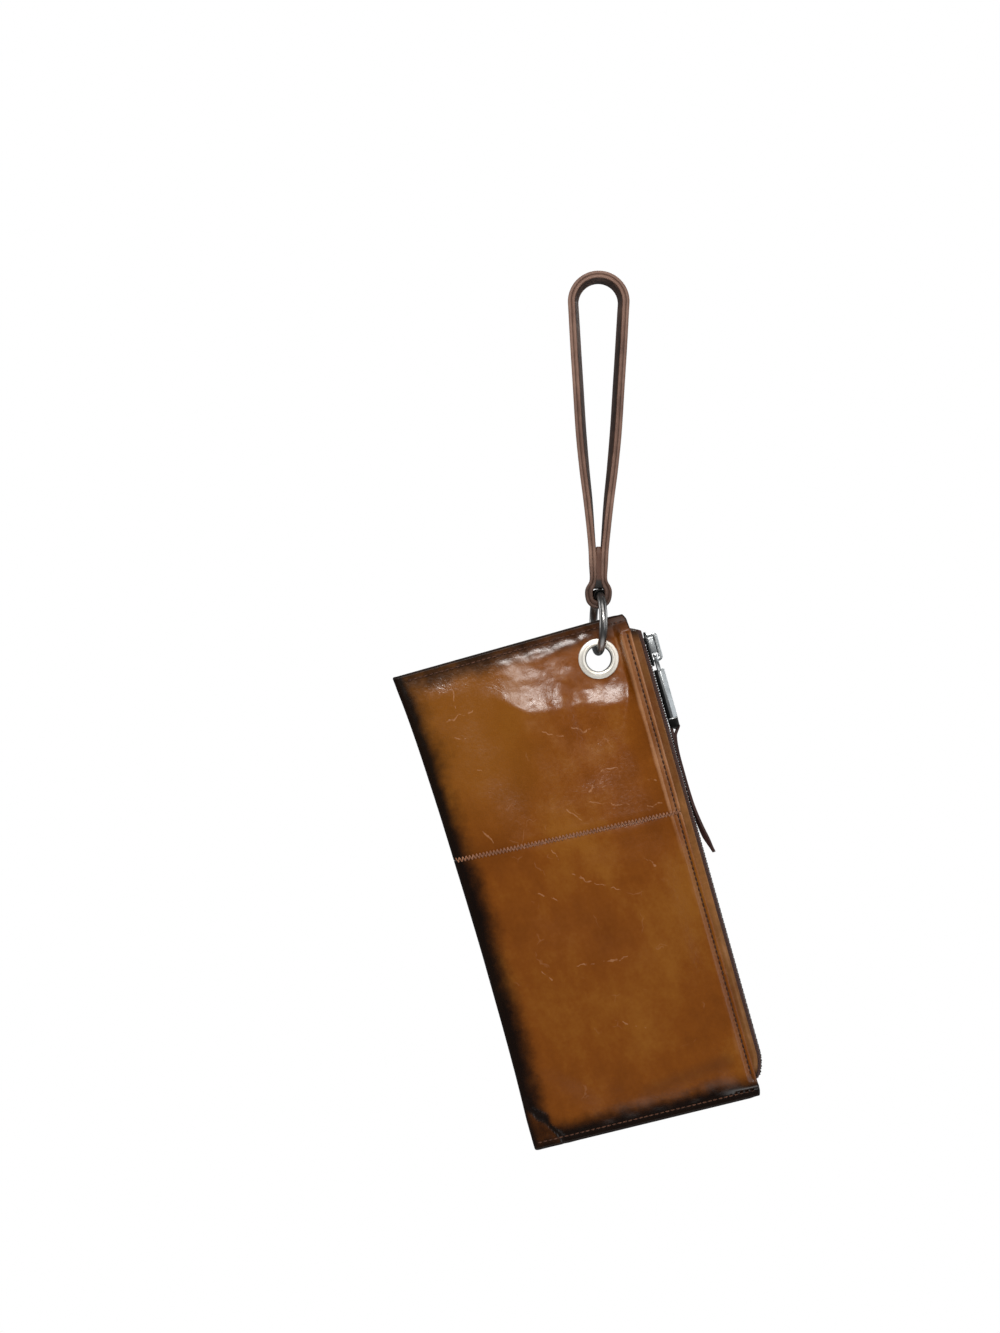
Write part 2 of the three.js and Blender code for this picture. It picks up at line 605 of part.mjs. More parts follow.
// Leather strip: it rounds the pull's end bar and hangs below it as two layers, narrowing to a tip
function buildStrip() {
  const middle = BAR_IN + PULL_BAR_THICK / 2;
  const hollow = PULL_PIN / 2 + GAP;
  const crown = hollow + STRIP_LEATHER;
  const barLow = PIN_Z - PULL_LENGTH;
  const bendLow = barLow + PULL_END_BAR + GAP;
  const levels = Array.from({ length: STRIP_STEPS + 1 }, (_, k) => (STRIP.at(-1).down * k) / STRIP_STEPS);
  const side = (sign) => [
    new THREE.Vector2(middle + sign * crown * 0.7, bendLow + STRIP_LEATHER),
    new THREE.Vector2(middle + sign * crown, bendLow),
    new THREE.Vector2(middle + sign * crown, barLow),
    ...levels.map((down) => {
      const out = along(STRIP, 'down', 'out', down) + sign * along(STRIP, 'down', 'half', down);
      return new THREE.Vector2(middle + out, barLow - crown - down);
    }),
  ];
  const shape = new THREE.Shape([...side(-1).reverse(), ...side(1)]);
  shape.holes.push(roundedOutline(
    new THREE.Path(),
    [middle - hollow, barLow - GAP],
    [middle + hollow, bendLow],
    GAP,
  ));
  return piece('pull_strip', sideExtrude(shape, STRIP_WIDTH), darkLeather);
}

// The pouch with all that is fixed to it, turned as it hangs
const pouch = new THREE.Group();
pouch.position.z = -EYELET_DROP;
pouch.rotation.y = -degToRad(POUCH_TILT);
pouch.add(buildUpper(), buildLower(), buildEyelet());
pouch.add(...buildZipStrips(), buildChain(), buildSlider(), buildPull(), buildStrip());

const wristlet = new THREE.Group();
wristlet.add(buildStrap(), buildRing(), pouch);

export default wristlet;
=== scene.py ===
"""Looks of a zipped leather wristlet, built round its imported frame.

Sizes are in millimetres and leave as metres. The row frame has +Z up and the front facing -Y, with its origin
inside the top of the strap's loop. The pouch has a frame of its own: "across" runs from the fold to the zip,
"depth" from front to back and "height" up its length, with the eyelet's centre at zero. "Down" is measured
along the pouch from its top edge.
"""

import logging
from collections.abc import Callable, Sequence
from dataclasses import dataclass, field
from enum import Enum

import bpy
import numpy as np
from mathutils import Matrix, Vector


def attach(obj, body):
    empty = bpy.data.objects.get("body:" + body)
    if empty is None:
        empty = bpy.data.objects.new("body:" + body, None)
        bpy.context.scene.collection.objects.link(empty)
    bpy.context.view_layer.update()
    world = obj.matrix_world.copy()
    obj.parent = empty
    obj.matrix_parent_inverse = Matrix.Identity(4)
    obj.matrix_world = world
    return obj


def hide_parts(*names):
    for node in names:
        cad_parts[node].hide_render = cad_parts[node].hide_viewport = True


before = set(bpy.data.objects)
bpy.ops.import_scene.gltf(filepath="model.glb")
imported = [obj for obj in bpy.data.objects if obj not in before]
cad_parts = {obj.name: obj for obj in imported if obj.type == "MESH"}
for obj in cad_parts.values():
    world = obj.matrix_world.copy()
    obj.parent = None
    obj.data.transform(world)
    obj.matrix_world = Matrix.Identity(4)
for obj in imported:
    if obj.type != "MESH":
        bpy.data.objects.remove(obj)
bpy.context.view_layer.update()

Array = np.ndarray
Socket = bpy.types.NodeSocket
Colour = tuple[float, float, float]
Point = tuple[float, float, float]
Line = tuple[tuple[float, float], ...]
ACROSS, DEPTH, UP = np.eye(3)
MM = 0.001
LOG = logging.getLogger("wristlet")


class Side(Enum):
    """The two walls of the pouch, by the way they face along Y."""

    FRONT = -1
    BACK = 1


class Body(Enum):
    """The bodies of the frame that pieces ride on."""

    STRAP = "strap"
    POUCH = "pouch"
    PULL = "pull"


# Numbers and curves


def ease(value: Array, low: float, high: float) -> Array:
    """Smooth step, 3t^2 - 2t^3 of the share t of the way from low to high."""
    share = np.clip((value - low) / (high - low), 0, 1)
    return share * share * (3 - 2 * share)


def bell(value: Array, width: float) -> Array:
    """A bump of height one: e to the minus (value / width) squared."""
    return np.exp(-((value / width) ** 2))


def unit(vectors: Array) -> Array:
    """Vectors brought to length one along the last axis."""
    return vectors / np.maximum(np.linalg.norm(vectors, axis=-1, keepdims=True), 1e-12)


def places(x: Array | float, y: Array | float, z: Array | float) -> Array:
    """Points from their three coordinates, each an array or one number for all."""
    return np.stack(np.broadcast_arrays(x, y, z), -1)


def ripple(x: Array, y: Array, length: float, seed: int, count: int = 14) -> Array:
    """Uneven waves: the sum of sines along random headings, with lengths about the given one.

    Args:
        x: First coordinate of each place.
        y: Second coordinate of each place.
        length: Middle wave length.
        seed: Picks the headings and phases.
        count: How many waves are added.

    Returns:
        Heights with a spread of about one.
    """
    draw = np.random.default_rng(seed)
    heading = draw.uniform(0, 2 * np.pi, count)
    turns = 2 * np.pi / (length * draw.uniform(0.7, 1.5, count))
    phase = draw.uniform(0, 2 * np.pi, count)
    run = x[..., None] * np.cos(heading) + y[..., None] * np.sin(heading)
    return np.sin(run * turns + phase).sum(-1) / np.sqrt(count / 2)


def to_line(x: Array, y: Array, line: Line) -> Array:
    """Distance of each place from a line of points, the least of its distances from the line's spans.

    Args:
        x: First coordinate of each place.
        y: Second coordinate of each place.
        line: The line's points.

    Returns:
        The distances.
    """
    here = np.stack([x, y], -1)
    ends = np.array(line, float)
    offs = []
    for start, stop in zip(ends[:-1], ends[1:]):
        run = stop - start
        share = np.clip((here - start) @ run / (run @ run), 0, 1)
        offs.append(np.linalg.norm(here - start - share[..., None] * run, axis=-1))
    return np.min(offs, axis=0)


def crowded(stops: Sequence[float], steps: Sequence[float]) -> Array:
    """Places from the first stop to the last, spaced by about its own step between each two stops.

    Args:
        stops: Both ends, and where the spacing changes.
        steps: The spacing between each two stops.

    Returns:
        The places in order.
    """
    parts = [
        np.linspace(start, stop, max(2, round((stop - start) / step) + 1))[:-1]
        for start, stop, step in zip(stops[:-1], stops[1:], steps)
    ]
    return np.concatenate([*parts, stops[-1:]])


def flowing(points: Array, per_span: int, closed: bool) -> Array:
    """A smooth curve through points: cubic spans, whose end slopes are half the neighbours' difference.

    Args:
        points: The points.
        per_span: How many points each span gets.
        closed: Whether the curve joins up.

    Returns:
        The curve's points.
    """
    if closed:
        held = np.vstack([points[-1:], points, points[:2]])
    else:
        held = np.vstack([2 * points[0] - points[1], points, 2 * points[-1] - points[-2]])
    t = np.linspace(0, 1, per_span, endpoint=False)[None, :, None]
    a, b, c, d = (held[k : len(held) - 3 + k][:, None] for k in range(4))
    curve = 0.5 * (2 * b + (c - a) * t + (2 * a - 5 * b + 4 * c - d) * t**2 + (3 * b - a - 3 * c + d) * t**3)
    curve = curve.reshape(-1, points.shape[1])
    return curve if closed else np.vstack([curve, points[-1:]])


@dataclass(frozen=True)
class Table:
    """Rows of named columns, read between rows with a smooth curve that never overshoots."""

    columns: tuple[str, ...]
    rows: tuple[tuple[float, ...], ...]

    def read(self, column: str, place: Array) -> Array:
        """A column's values at places of the first column.

        Each span is a cubic whose slope at a row is the harmonic mean of the slopes on either side, or level
        where those differ in sign.

        Args:
            column: Name of the column.
            place: Places along the first column.

        Returns:
            The column's values there.
        """
        grid = np.array(self.rows, float)
        x, y = grid[:, 0], grid[:, self.columns.index(column)]
        step = np.diff(x)
        slope = np.diff(y) / step
        before, after = np.r_[slope[:1], slope], np.r_[slope, slope[-1:]]
        total = np.where(before * after > 0, before + after, 1)
        tangent = np.where(before * after > 0, 2 * before * after / total, 0)
        row = np.clip(np.searchsorted(x, place, side="right") - 1, 0, len(x) - 2)
        t = np.clip((place - x[row]) / step[row], 0, 1)
        rise = t * t * (3 - 2 * t)
        lean = t * (1 - t) * ((1 - t) * tangent[row] - t * tangent[row + 1])
        return y[row] + (y[row + 1] - y[row]) * rise + step[row] * lean


# Meshes


@dataclass
class Skin:
    """Points in millimetres, faces of four points, and the named values that each point carries."""

    points: Array
    faces: Array
    values: dict[str, Array] = field(default_factory=dict)

    def moved(self, place: Callable[[Array], Array]) -> "Skin":
        """The same skin with every point put through a placing function."""
        return Skin(place(self.points), self.faces, self.values)

    def outward(self) -> "Skin":
        """The same closed skin with its faces turned so that the volume inside counts as positive."""
        a, b, c, d = (self.points[self.faces[:, k]] for k in range(4))
        volume = (a * (np.cross(b, c) + np.cross(c, d))).sum()
        return self if volume > 0 else Skin(self.points, self.faces[:, ::-1], self.values)


def joined(skins: Sequence[Skin]) -> Skin:
    """Several skins as one, keeping the values that any of them carries.

    Args:
        skins: The skins.

    Returns:
        One skin, with nought where a skin lacks a value.
    """
    starts = np.cumsum([0, *[len(s.points) for s in skins[:-1]]])
    names = sorted({name for s in skins for name in s.values})
    values = {n: np.concatenate([s.values.get(n, np.zeros(len(s.points))) for s in skins]) for n in names}
    return Skin(
        np.concatenate([s.points for s in skins]),
        np.concatenate([s.faces + start for s, start in zip(skins, starts)]),
        values,
    )


def grid_faces(rows: int, cols: int, wrap_rows: bool = False, wrap_cols: bool = False) -> Array:
    """Faces between neighbours of a grid of points, joined round where it wraps.

    Args:
        rows: Rows of the grid.
        cols: Points in a row.
        wrap_rows: Whether the last row joins the first.
        wrap_cols: Whether a row's last point joins its first.

    Returns:
        Four point numbers for each face.
    """
    index = np.arange(rows * cols).reshape(rows, cols)
    if wrap_rows:
        index = np.vstack([index, index[:1]])
    if wrap_cols:
        index = np.hstack([index, index[:, :1]])
    return np.stack([index[:-1, :-1], index[:-1, 1:], index[1:, 1:], index[1:, :-1]], -1).reshape(-1, 4)


def cap_faces(ring: Array) -> Array:
    """A strip of faces across rings of an even number of points, from the first and last point inward.

    Args:
        ring: Point numbers round each ring, along the last axis.

    Returns:
        Four point numbers for each face.
    """
    half = ring.shape[-1] // 2
    near, far = ring[..., :half], ring[..., ::-1][..., :half]
    return np.stack([near[..., :-1], near[..., 1:], far[..., 1:], far[..., :-1]], -1).reshape(-1, 4)


def point_normals(points: Array, faces: Array) -> Array:
    """The mean direction of the faces round each point, each weighed by its area.

    Args:
        points: The points.
        faces: Four point numbers for each face.

    Returns:
        A vector of length one for each point.
    """
    a, b, c, d = (points[faces[:, k]] for k in range(4))
    face = np.cross(c - a, d - b)
    total = np.zeros_like(points)
    for k in range(4):
        np.add.at(total, faces[:, k], face)
    return unit(total)


def shell(sheet: Skin, thick: Array | float, border_rim: float = 0.0, steps: int = 5) -> Skin:
    """A sheet given its thickness inward, with a half-round rim along every open border.

    The inner face is the outer one moved in along its normals. The rim turns half a circle from the outer face
    to the inner one, about the middle of the thickness, out past the border.

    Args:
        sheet: The outer face, its faces turned outward.
        thick: The thickness, one for all points or one for each.
        border_rim: The value "rim" of the border's own points.
        steps: Spans of the half-round.

    Returns:
        The closed skin, with a value "rim" that is one at the outermost line of the rim.
    """
    points, faces = sheet.points, sheet.faces
    count = len(points)
    normals = point_normals(points, faces)
    edges = np.concatenate([faces[:, [k, (k + 1) % 4]] for k in range(4)])
    forward = edges[:, 0] * count + edges[:, 1]
    border = edges[~np.isin(forward, edges[:, 1] * count + edges[:, 0])]
    run = unit(points[border[:, 1]] - points[border[:, 0]])
    away = np.zeros_like(points)
    for k in range(2):
        np.add.at(away, border[:, k], np.cross(run, normals[border[:, k]]))
    line = np.unique(border)
    where = np.zeros(count, int)
    where[line] = np.arange(len(line))
    inward = normals * np.broadcast_to(thick, count)[:, None]
    half = np.broadcast_to(thick, count)[line, None] / 2
    middle = points[line] - inward[line] / 2
    out = unit(away[line])
    turns = np.pi * np.arange(1, steps) / steps
    rims = [middle + half * (normals[line] * np.cos(t) + out * np.sin(t)) for t in turns]
    rings = [line, *[2 * count + k * len(line) + np.arange(len(line)) for k in range(steps - 1)], count + line]
    a, b = where[border[:, 0]], where[border[:, 1]]
    sides = [np.stack([near[b], near[a], far[a], far[b]], -1) for near, far in zip(rings[:-1], rings[1:])]
    values = {n: np.concatenate([v, v, *[v[line]] * (steps - 1)]) for n, v in sheet.values.items()}
    flat = np.zeros(count)
    flat[line] = border_rim
    values["rim"] = np.concatenate([flat, flat, *[np.full(len(line), np.sin(t)) for t in turns]])
    return Skin(
        np.concatenate([points, points - inward, *rims]),
        np.concatenate([faces, faces[:, ::-1] + count, *sides]),
        values,
    )


def rounded(half_a: float, half_b: float, radius: float, steps: int = 3) -> Array:
    """Outline of a rectangle with rounded corners: a quarter circle about each corner's own centre.

    Args:
        half_a: Half its first side.
        half_b: Half its second side.
        radius: Radius of the corners.
        steps: Spans of each quarter circle.

    Returns:
        The outline's points.
    """
    turn = np.linspace(0, np.pi / 2, steps + 1)
    starts = np.arange(4)[:, None] * np.pi / 2
    signs = np.array([[1, 1], [-1, 1], [-1, -1], [1, -1]])[:, None]
    arcs = np.stack([np.cos(starts + turn), np.sin(starts + turn)], -1) * radius
    return (signs * np.array([half_a - radius, half_b - radius]) + arcs).reshape(-1, 2)


def sweep(path: Array, side: Array, up: Array, profile: Array, closed: bool = False) -> Skin:
    """A closed profile carried along a path: each point is path + side * p + up * q, and open ends are capped.

    Args:
        path: Points of the path.
        side: Direction of the profile's first coordinate at each of them.
        up: Direction of the profile's second coordinate at each of them.
        profile: Outline, either one for all or one for each point of the path.
        closed: Whether the path joins up.

    Returns:
        The closed skin, its faces turned outward.
    """
    profile = np.broadcast_to(profile, (len(path), *profile.shape[-2:]))
    side, up = (np.broadcast_to(v, path.shape) for v in (side, up))
    points = path[:, None] + side[:, None] * profile[..., :1] + up[:, None] * profile[..., 1:]
    rows, cols = points.shape[:2]
    faces = [grid_faces(rows, cols, wrap_rows=closed, wrap_cols=True)]
    if not closed:
        faces += [cap_faces(np.arange(cols))[:, ::-1], cap_faces(np.arange(cols) + (rows - 1) * cols)]
    return Skin(points.reshape(-1, 3), np.concatenate(faces)).outward()


def tubes(paths: Array, radius: Array, up: Array, sides: int = 6) -> Skin:
    """Round threads along many paths at once: a circle in the plane across each path, with capped ends.

    Args:
        paths: Points of each path, as paths by points by three.
        radius: Radius at each point of a path.
        up: A direction away from the surface that the threads lie on.
        sides: Sides of the circle, an even number.

    Returns:
        The closed skin of all threads.
    """
    many, long = paths.shape[:2]
    run = unit(np.gradient(paths, axis=1))
    side = unit(np.cross(run, up))
    top = np.cross(side, run)
    turn = 2 * np.pi * np.arange(sides) / sides
    ring = side[:, :, None] * np.cos(turn)[:, None] + top[:, :, None] * np.sin(turn)[:, None]
    points = paths[:, :, None] + ring * np.broadcast_to(radius, (many, long))[:, :, None, None]
    first = np.arange(many)[:, None] * long * sides + np.arange(sides)
    body = grid_faces(long, sides, wrap_cols=True)
    faces = (body + (np.arange(many) * long * sides)[:, None, None]).reshape(-1, 4)
    caps = [cap_faces(first)[:, ::-1], cap_faces(first + (long - 1) * sides)]
    return Skin(points.reshape(-1, 3), np.concatenate([faces, *caps])).outward()


def copies(template: Skin, offsets: Array) -> Skin:
    """One skin repeated at each offset.

    Args:
        template: The skin.
        offsets: How far each copy is moved.

    Returns:
        All copies as one skin.
    """
    count = len(template.points)
    points = (offsets[:, None] + template.points).reshape(-1, 3)
    faces = (np.arange(len(offsets))[:, None, None] * count + template.faces).reshape(-1, 4)
    return Skin(points, faces)


# Finishes


class Tree:
    """A material's nodes, written as expressions."""

    def __init__(self, name: str) -> None:
        """Starts a material with one shader."""
        self.material = bpy.data.materials.new(name)
        self.material.use_nodes = True
        self.nodes, self.links = self.material.node_tree.nodes, self.material.node_tree.links
        self.nodes.clear()
        self.shader = self.nodes.new("ShaderNodeBsdfPrincipled")
        self.surface = self.nodes.new("ShaderNodeOutputMaterial").inputs["Surface"]
        self.links.new(self.shader.outputs["BSDF"], self.surface)
        self.place = self.nodes.new("ShaderNodeTexCoord").outputs["Object"]

    def put(self, socket: Socket, value: object) -> None:
        """Links a socket to another one, or sets its own value."""
        if isinstance(value, Socket):
            self.links.new(value, socket)
        elif value is not None:
            socket.default_value = value

    def node(self, kind: str, inputs: dict[str | int, object], **settings: object) -> bpy.types.Node:
        """A new node with its settings and inputs.

        Args:
            kind: Blender's name for the node.
            inputs: What each of its sockets gets.
            settings: Its own settings.

        Returns:
            The node.
        """
        made = self.nodes.new(kind)
        for name, value in settings.items():
            setattr(made, name, value)
        for name, value in inputs.items():
            self.put(made.inputs[name], value)
        return made

    def value(self, name: str) -> Socket:
        """A number that the mesh carries at its points."""
        return self.node("ShaderNodeAttribute", {}, attribute_name=name).outputs["Fac"]

    def vector(self, name: str) -> Socket:
        """A vector that the mesh carries at its points."""
        return self.node("ShaderNodeAttribute", {}, attribute_name=name).outputs["Vector"]

    def turned(self, turn: float) -> Socket:
        """The place after a turn about Y."""
        inputs = {"Vector": self.place, "Angle": turn}
        return self.node("ShaderNodeVectorRotate", inputs, rotation_type="Y_AXIS").outputs[0]

    def stretched(self, scale: Colour, turn: float) -> Socket:
        """The place with each axis scaled, after a turn about Y, for patterns that run one way."""
        return self.reach("MULTIPLY", self.turned(turn), scale)

    def drift(self, scale: float, detail: float) -> Socket:
        """Noise in three parts, each from nought to one, by which a place is shifted."""
        inputs = {"Vector": self.place, "Scale": scale, "Detail": detail}
        return self.node("ShaderNodeTexNoise", inputs).outputs["Color"]

    def noise(self, scale: float, detail: float = 3, rough: float = 0.5, at: object = None) -> Socket:
        """Cloudy noise of so many spots a metre."""
        inputs = {"Vector": at or self.place, "Scale": scale, "Detail": detail, "Roughness": rough}
        return self.node("ShaderNodeTexNoise", inputs).outputs["Fac"]

    def cells(self, scale: float, feature: str, at: object = None) -> Socket:
        """Distance within a pattern of cells, so many a metre."""
        inputs = {"Vector": at or self.place, "Scale": scale}
        return self.node("ShaderNodeTexVoronoi", inputs, feature=feature).outputs["Distance"]

    def sum(self, *terms: tuple[float, object]) -> Socket:
        """Sum of numbers, each times its own weight.

        Args:
            terms: Each weight with its number.

        Returns:
            The sum.
        """
        total: object = 0.0
        for weight, term in terms:
            inputs = {0: term, 1: weight, 2: total}
            total = self.node("ShaderNodeMath", inputs, operation="MULTIPLY_ADD").outputs[0]
        return total

    def math(self, operation: str, first: object, second: object = None) -> Socket:
        """One step of arithmetic."""
        return self.node("ShaderNodeMath", {0: first, 1: second}, operation=operation).outputs[0]

    def reach(self, operation: str, first: object, second: object = None) -> Socket:
        """One step of arithmetic on vectors."""
        return self.node("ShaderNodeVectorMath", {0: first, 1: second}, operation=operation).outputs["Vector"]

    def number(self, operation: str, first: object, second: object = None) -> Socket:
        """A number from vectors, such as a length or a dot product."""
        return self.node("ShaderNodeVectorMath", {0: first, 1: second}, operation=operation).outputs["Value"]

    def span(self, value: object, low: float, high: float, first: float = 0, last: float = 1) -> Socket:
        """Smooth change from first to last as a value goes from low to high."""
        inputs = {"Value": value, "From Min": low, "From Max": high, "To Min": first, "To Max": last}
        return self.node("ShaderNodeMapRange", inputs, interpolation_type="SMOOTHSTEP").outputs["Result"]

    def ramp(self, value: object, stops: Sequence[tuple[float, Colour]]) -> Socket:
        """A colour along a row of stops.

        Args:
            value: How far along, from nought to one.
            stops: Each stop's place and colour.

        Returns:
            The colour.
        """
        made = self.node("ShaderNodeValToRGB", {"Fac": value})
        elements = made.color_ramp.elements
        for _ in stops[2:]:
            elements.new(0.5)
        for element, (place, colour) in zip(elements, stops):
            element.position = place
            element.color = (*colour, 1)
        return made.outputs["Color"]

    def mix(self, share: object, base: object, other: object, blend: str = "MIX") -> Socket:
        """A colour between two, by a share from nought to one."""
        full = [(*c, 1) if isinstance(c, tuple) else c for c in (base, other)]
        inputs = {0: share, 6: full[0], 7: full[1]}
        return self.node("ShaderNodeMix", inputs, data_type="RGBA", blend_type=blend).outputs[2]

    def bump(self, height: object, depth: float, strength: float, under: object = None) -> Socket:
        """A normal tilted by a height, whose full range is so many metres deep."""
        inputs = {"Height": height, "Distance": depth, "Strength": strength, "Normal": under}
        return self.node("ShaderNodeBump", inputs).outputs["Normal"]

    def dressed(self, **sockets: object) -> bpy.types.Material:
        """Sets the shader's sockets, named with _ for a space, and gives the material.

        Args:
            sockets: What each socket gets.

        Returns:
            The material.
        """
        for name, value in sockets.items():
            full = (*value, 1) if isinstance(value, tuple) else value
            self.put(self.shader.inputs[name.replace("_", " ")], full)
        return self.material


# Light creases of the front, each from one place to another, across and down the pouch
CREASES = (
    (-19.8, 41.7, -15.3, 45.0),
    (-15.3, 45.0, -9.1, 43.9),
    (-31.8, 40.9, -23.8, 44.8),
    (-23.6, 74.8, -14.0, 77.4),
    (-11.9, 77.9, -4.4, 80.0),
    (-32.0, 75.6, -26.5, 81.8),
    (-19.9, 69.7, -15.8, 67.9),
    (-68.6, 77.7, -65.8, 83.9),
    (-42.4, 89.2, -40.9, 98.2),
    (-36.6, 103.8, -30.1, 109.4),
    (-30.1, 109.4, -16.7, 116.5),
    (-4.2, 103.8, -0.6, 108.7),
    (-59.9, 106.7, -51.1, 110.5),
    (-49.2, 110.1, -45.9, 114.5),
    (-46.8, 143.9, -31.3, 144.8),
    (-31.3, 144.8, -23.6, 144.7),
    (-61.2, 143.8, -58.1, 147.2),
    (-35.5, 171.2, -31.1, 173.2),
    (-28.0, 175.3, -22.9, 177.9),
    (-65.1, 11.2, -66.3, 20.2),
    (-72.5, 25.9, -60.1, 23.9),
    (-71.9, 33.0, -67.0, 35.0),
    (-64.7, 50.7, -60.0, 52.7),
    (6.1, 71.2, 9.7, 72.2),
    (-13.5, 63.6, -4.9, 63.3),
    (3.5, 82.5, 8.7, 82.8),
)


# How much of its brightness the leather keeps at so many millimetres from a burnt edge; the strap's inner faces
# and its eye go through the same ramp as painted shade
BURN_REACH = 16.0
BURN = (
    (3.2, 0.03),
    (4.5, 0.07),
    (5.5, 0.13),
    (6.5, 0.2),
    (7.5, 0.31),
    (8.5, 0.45),
    (10.0, 0.68),
    (12.0, 0.94),
    (14.0, 1.0),
)
# How much of red, green and blue is left, beside that brightness
BURN_TINT = (1.0, 0.97, 0.94)


@dataclass(frozen=True)
class WaxedLeather:
    """Waxed pull-up leather: cloudy browns, burnt edges, pale stretch marks and fine creases, with painted
    shade and highlight.
    """

    name: str
    deep: Colour
    middle: Colour
    light: Colour
    # The pale colour of stretch marks and creases, which also paints highlights
    worn: Colour
    # Colour of burnt and painted edges, and of painted shade in grooves and creases
    burnt_and_shade: Colour = (0.0075, 0.0042, 0.0028)
    golden: Colour = (0.225, 0.08, 0.007)
    # Colour of a stain on the front and of painted shade toward the bottom
    stained: Colour = (0.085, 0.028, 0.007)
    rough: float = 0.235
    gloss: float = 0.26
    grain: float = 1150.0
    creases: tuple[tuple[float, float, float, float], ...] = ()
    crease_waver: float = 4.5
    crease_core: float = 0.1
    crease_half: float = 0.42

    def crease_lines(self, tree: Tree) -> Socket:
        """Share of a placed crease at each point: it falls off with the distance from its wavering line.

        Args:
            tree: The material's nodes.

        Returns:
            The share, from nought to one.
        """
        drift = tree.reach("SUBTRACT", tree.drift(230, 2), (0.5, 0.5, 0.5))
        shift = tree.reach("MULTIPLY", drift, (self.crease_waver, self.crease_waver, 0))
        spot = tree.reach("ADD", tree.vector("spot"), shift)
        total: object = 0.0
        for x0, y0, x1, y1 in self.creases:
            run = np.array([x1 - x0, y1 - y0])
            here = tree.reach("SUBTRACT", spot, (x0, y0, 0.0))
            share = tree.number("DOT_PRODUCT", here, (*(run / (run @ run)), 0.0))
            held = tree.node("ShaderNodeClamp", {"Value": share}).outputs[0]
            along = tree.node("ShaderNodeVectorMath", {0: (*run, 0.0), "Scale": held}, operation="SCALE")
            off = tree.number("LENGTH", tree.reach("SUBTRACT", here, along.outputs["Vector"]))
            total = tree.math("MAXIMUM", total, tree.span(off, self.crease_core, self.crease_half, 1, 0))
        return tree.math("MULTIPLY", total, tree.span(tree.noise(330, 2), 0.4, 0.56))

    def material(self) -> bpy.types.Material:
        """Builds the material from the places and the values that the mesh carries.

        Colour runs from deep to light by noise of several sizes, pales on stretched ridges and creases and with
        painted highlight, takes painted shade in grooves and toward the bottom, and burns toward the edges by
        the carried distance from them, which noise makes uneven; on the strap's inner faces and in its eye the
        same darkening is painted shade. Cut edges and the handled corner are matt, and waxed places shine.

        Returns:
            The material.
        """
        tree = Tree(self.name)
        cloud, patch, speck = tree.noise(17, 3), tree.noise(70, 4, 0.6), tree.noise(640, 3)
        streak = tree.noise(1, 3, 0.6, tree.stretched((46, 46, 190), -1.1))
        tone = tree.sum((0.46, cloud), (0.3, patch), (0.14, streak), (0.1, speck))
        colour = tree.ramp(tone, ((0.39, self.deep), (0.5, self.middle), (0.62, self.light)))
        colour = tree.mix(tree.math("MULTIPLY", tree.value("gold"), 0.75), colour, self.golden)

        # Paleness, partly stretched leather and partly painted highlight
        stretch = tree.sum((0.8, tree.value("stretch")), (0.7, tree.math("SUBTRACT", patch, 0.55)))
        colour = tree.mix(tree.span(stretch, 0.12, 0.9, 0, 0.68), colour, self.worn)
        drift = tree.reach("MULTIPLY", tree.drift(95, 3), (0.013, 0.013, 0.013))
        cracks = tree.cells(46, "DISTANCE_TO_EDGE", tree.reach("ADD", tree.place, drift))
        here_and_there = tree.span(tree.noise(88, 2), 0.6, 0.68)
        mark = tree.math("MULTIPLY", tree.span(cracks, 0.0, 0.016, 1, 0), here_and_there)
        lines = tree.math("MAXIMUM", tree.math("MULTIPLY", mark, 0.35), self.crease_lines(tree))
        colour = tree.mix(tree.math("MULTIPLY", lines, 0.5), colour, self.worn)
        # A stain, and painted shade darker toward the bottom
        colour = tree.mix(tree.math("MULTIPLY", tree.value("stain"), 0.5), colour, self.stained)

        ragged = tree.noise(260, 3, 0.6)
        wander = tree.sum((6.5, tree.math("SUBTRACT", patch, 0.5)), (3.5, tree.math("SUBTRACT", ragged, 0.5)))
        # Burns toward the edges; on the strap's inner faces and in its eye this darkening is painted shade
        depth = tree.math("DIVIDE", tree.math("ADD", tree.value("burnish"), wander), BURN_REACH)
        stops = [(far / BURN_REACH, tuple(share * tint for tint in BURN_TINT)) for far, share in BURN]
        colour = tree.mix(1.0, colour, tree.ramp(depth, stops), "MULTIPLY")
        # Painted shade in grooves and creases
        colour = tree.mix(tree.math("MULTIPLY", tree.value("groove"), 0.75), colour, self.burnt_and_shade)
        painted = tree.span(tree.math("MULTIPLY", tree.value("rim"), tree.value("paint")), 0.2, 0.85, 0, 0.94)
        colour = tree.mix(painted, colour, self.burnt_and_shade)

        crackle = tree.cells(520, "DISTANCE_TO_EDGE")
        grain = tree.cells(self.grain, "F1")
        fine = tree.sum((0.5, grain), (0.4, tree.noise(2400, 2)), (0.5, tree.span(crackle, 0, 0.14)))
        wave = tree.sum((1.0, tree.noise(150, 3, 0.55)), (0.35, tree.noise(420, 2)))
        rise = tree.math("SUBTRACT", tree.noise(140, 2, 0.4), 0.5)
        crinkle = tree.math("MULTIPLY", tree.value("wrinkle"), rise)
        normal = tree.bump(wave, 0.0011, 0.1)
        normal = tree.bump(crinkle, 0.0016, 0.34, normal)
        normal = tree.bump(lines, 0.0004, 0.06, normal)
        normal = tree.bump(fine, 0.00022, 0.1, normal)
        matt = tree.sum((0.6, painted), (0.4, tree.value("rim")), (0.38, tree.value("dull")))
        sheen = tree.sum((0.13, tree.value("wrinkle")), (-0.07, tree.value("wax")), (1.0, matt))
        rough = tree.sum((1.0, self.rough - 0.14), (0.16, speck), (0.12, patch), (1.0, sheen))
        return tree.dressed(Base_Color=colour, Roughness=rough, Normal=normal, Specular_IOR_Level=self.gloss)


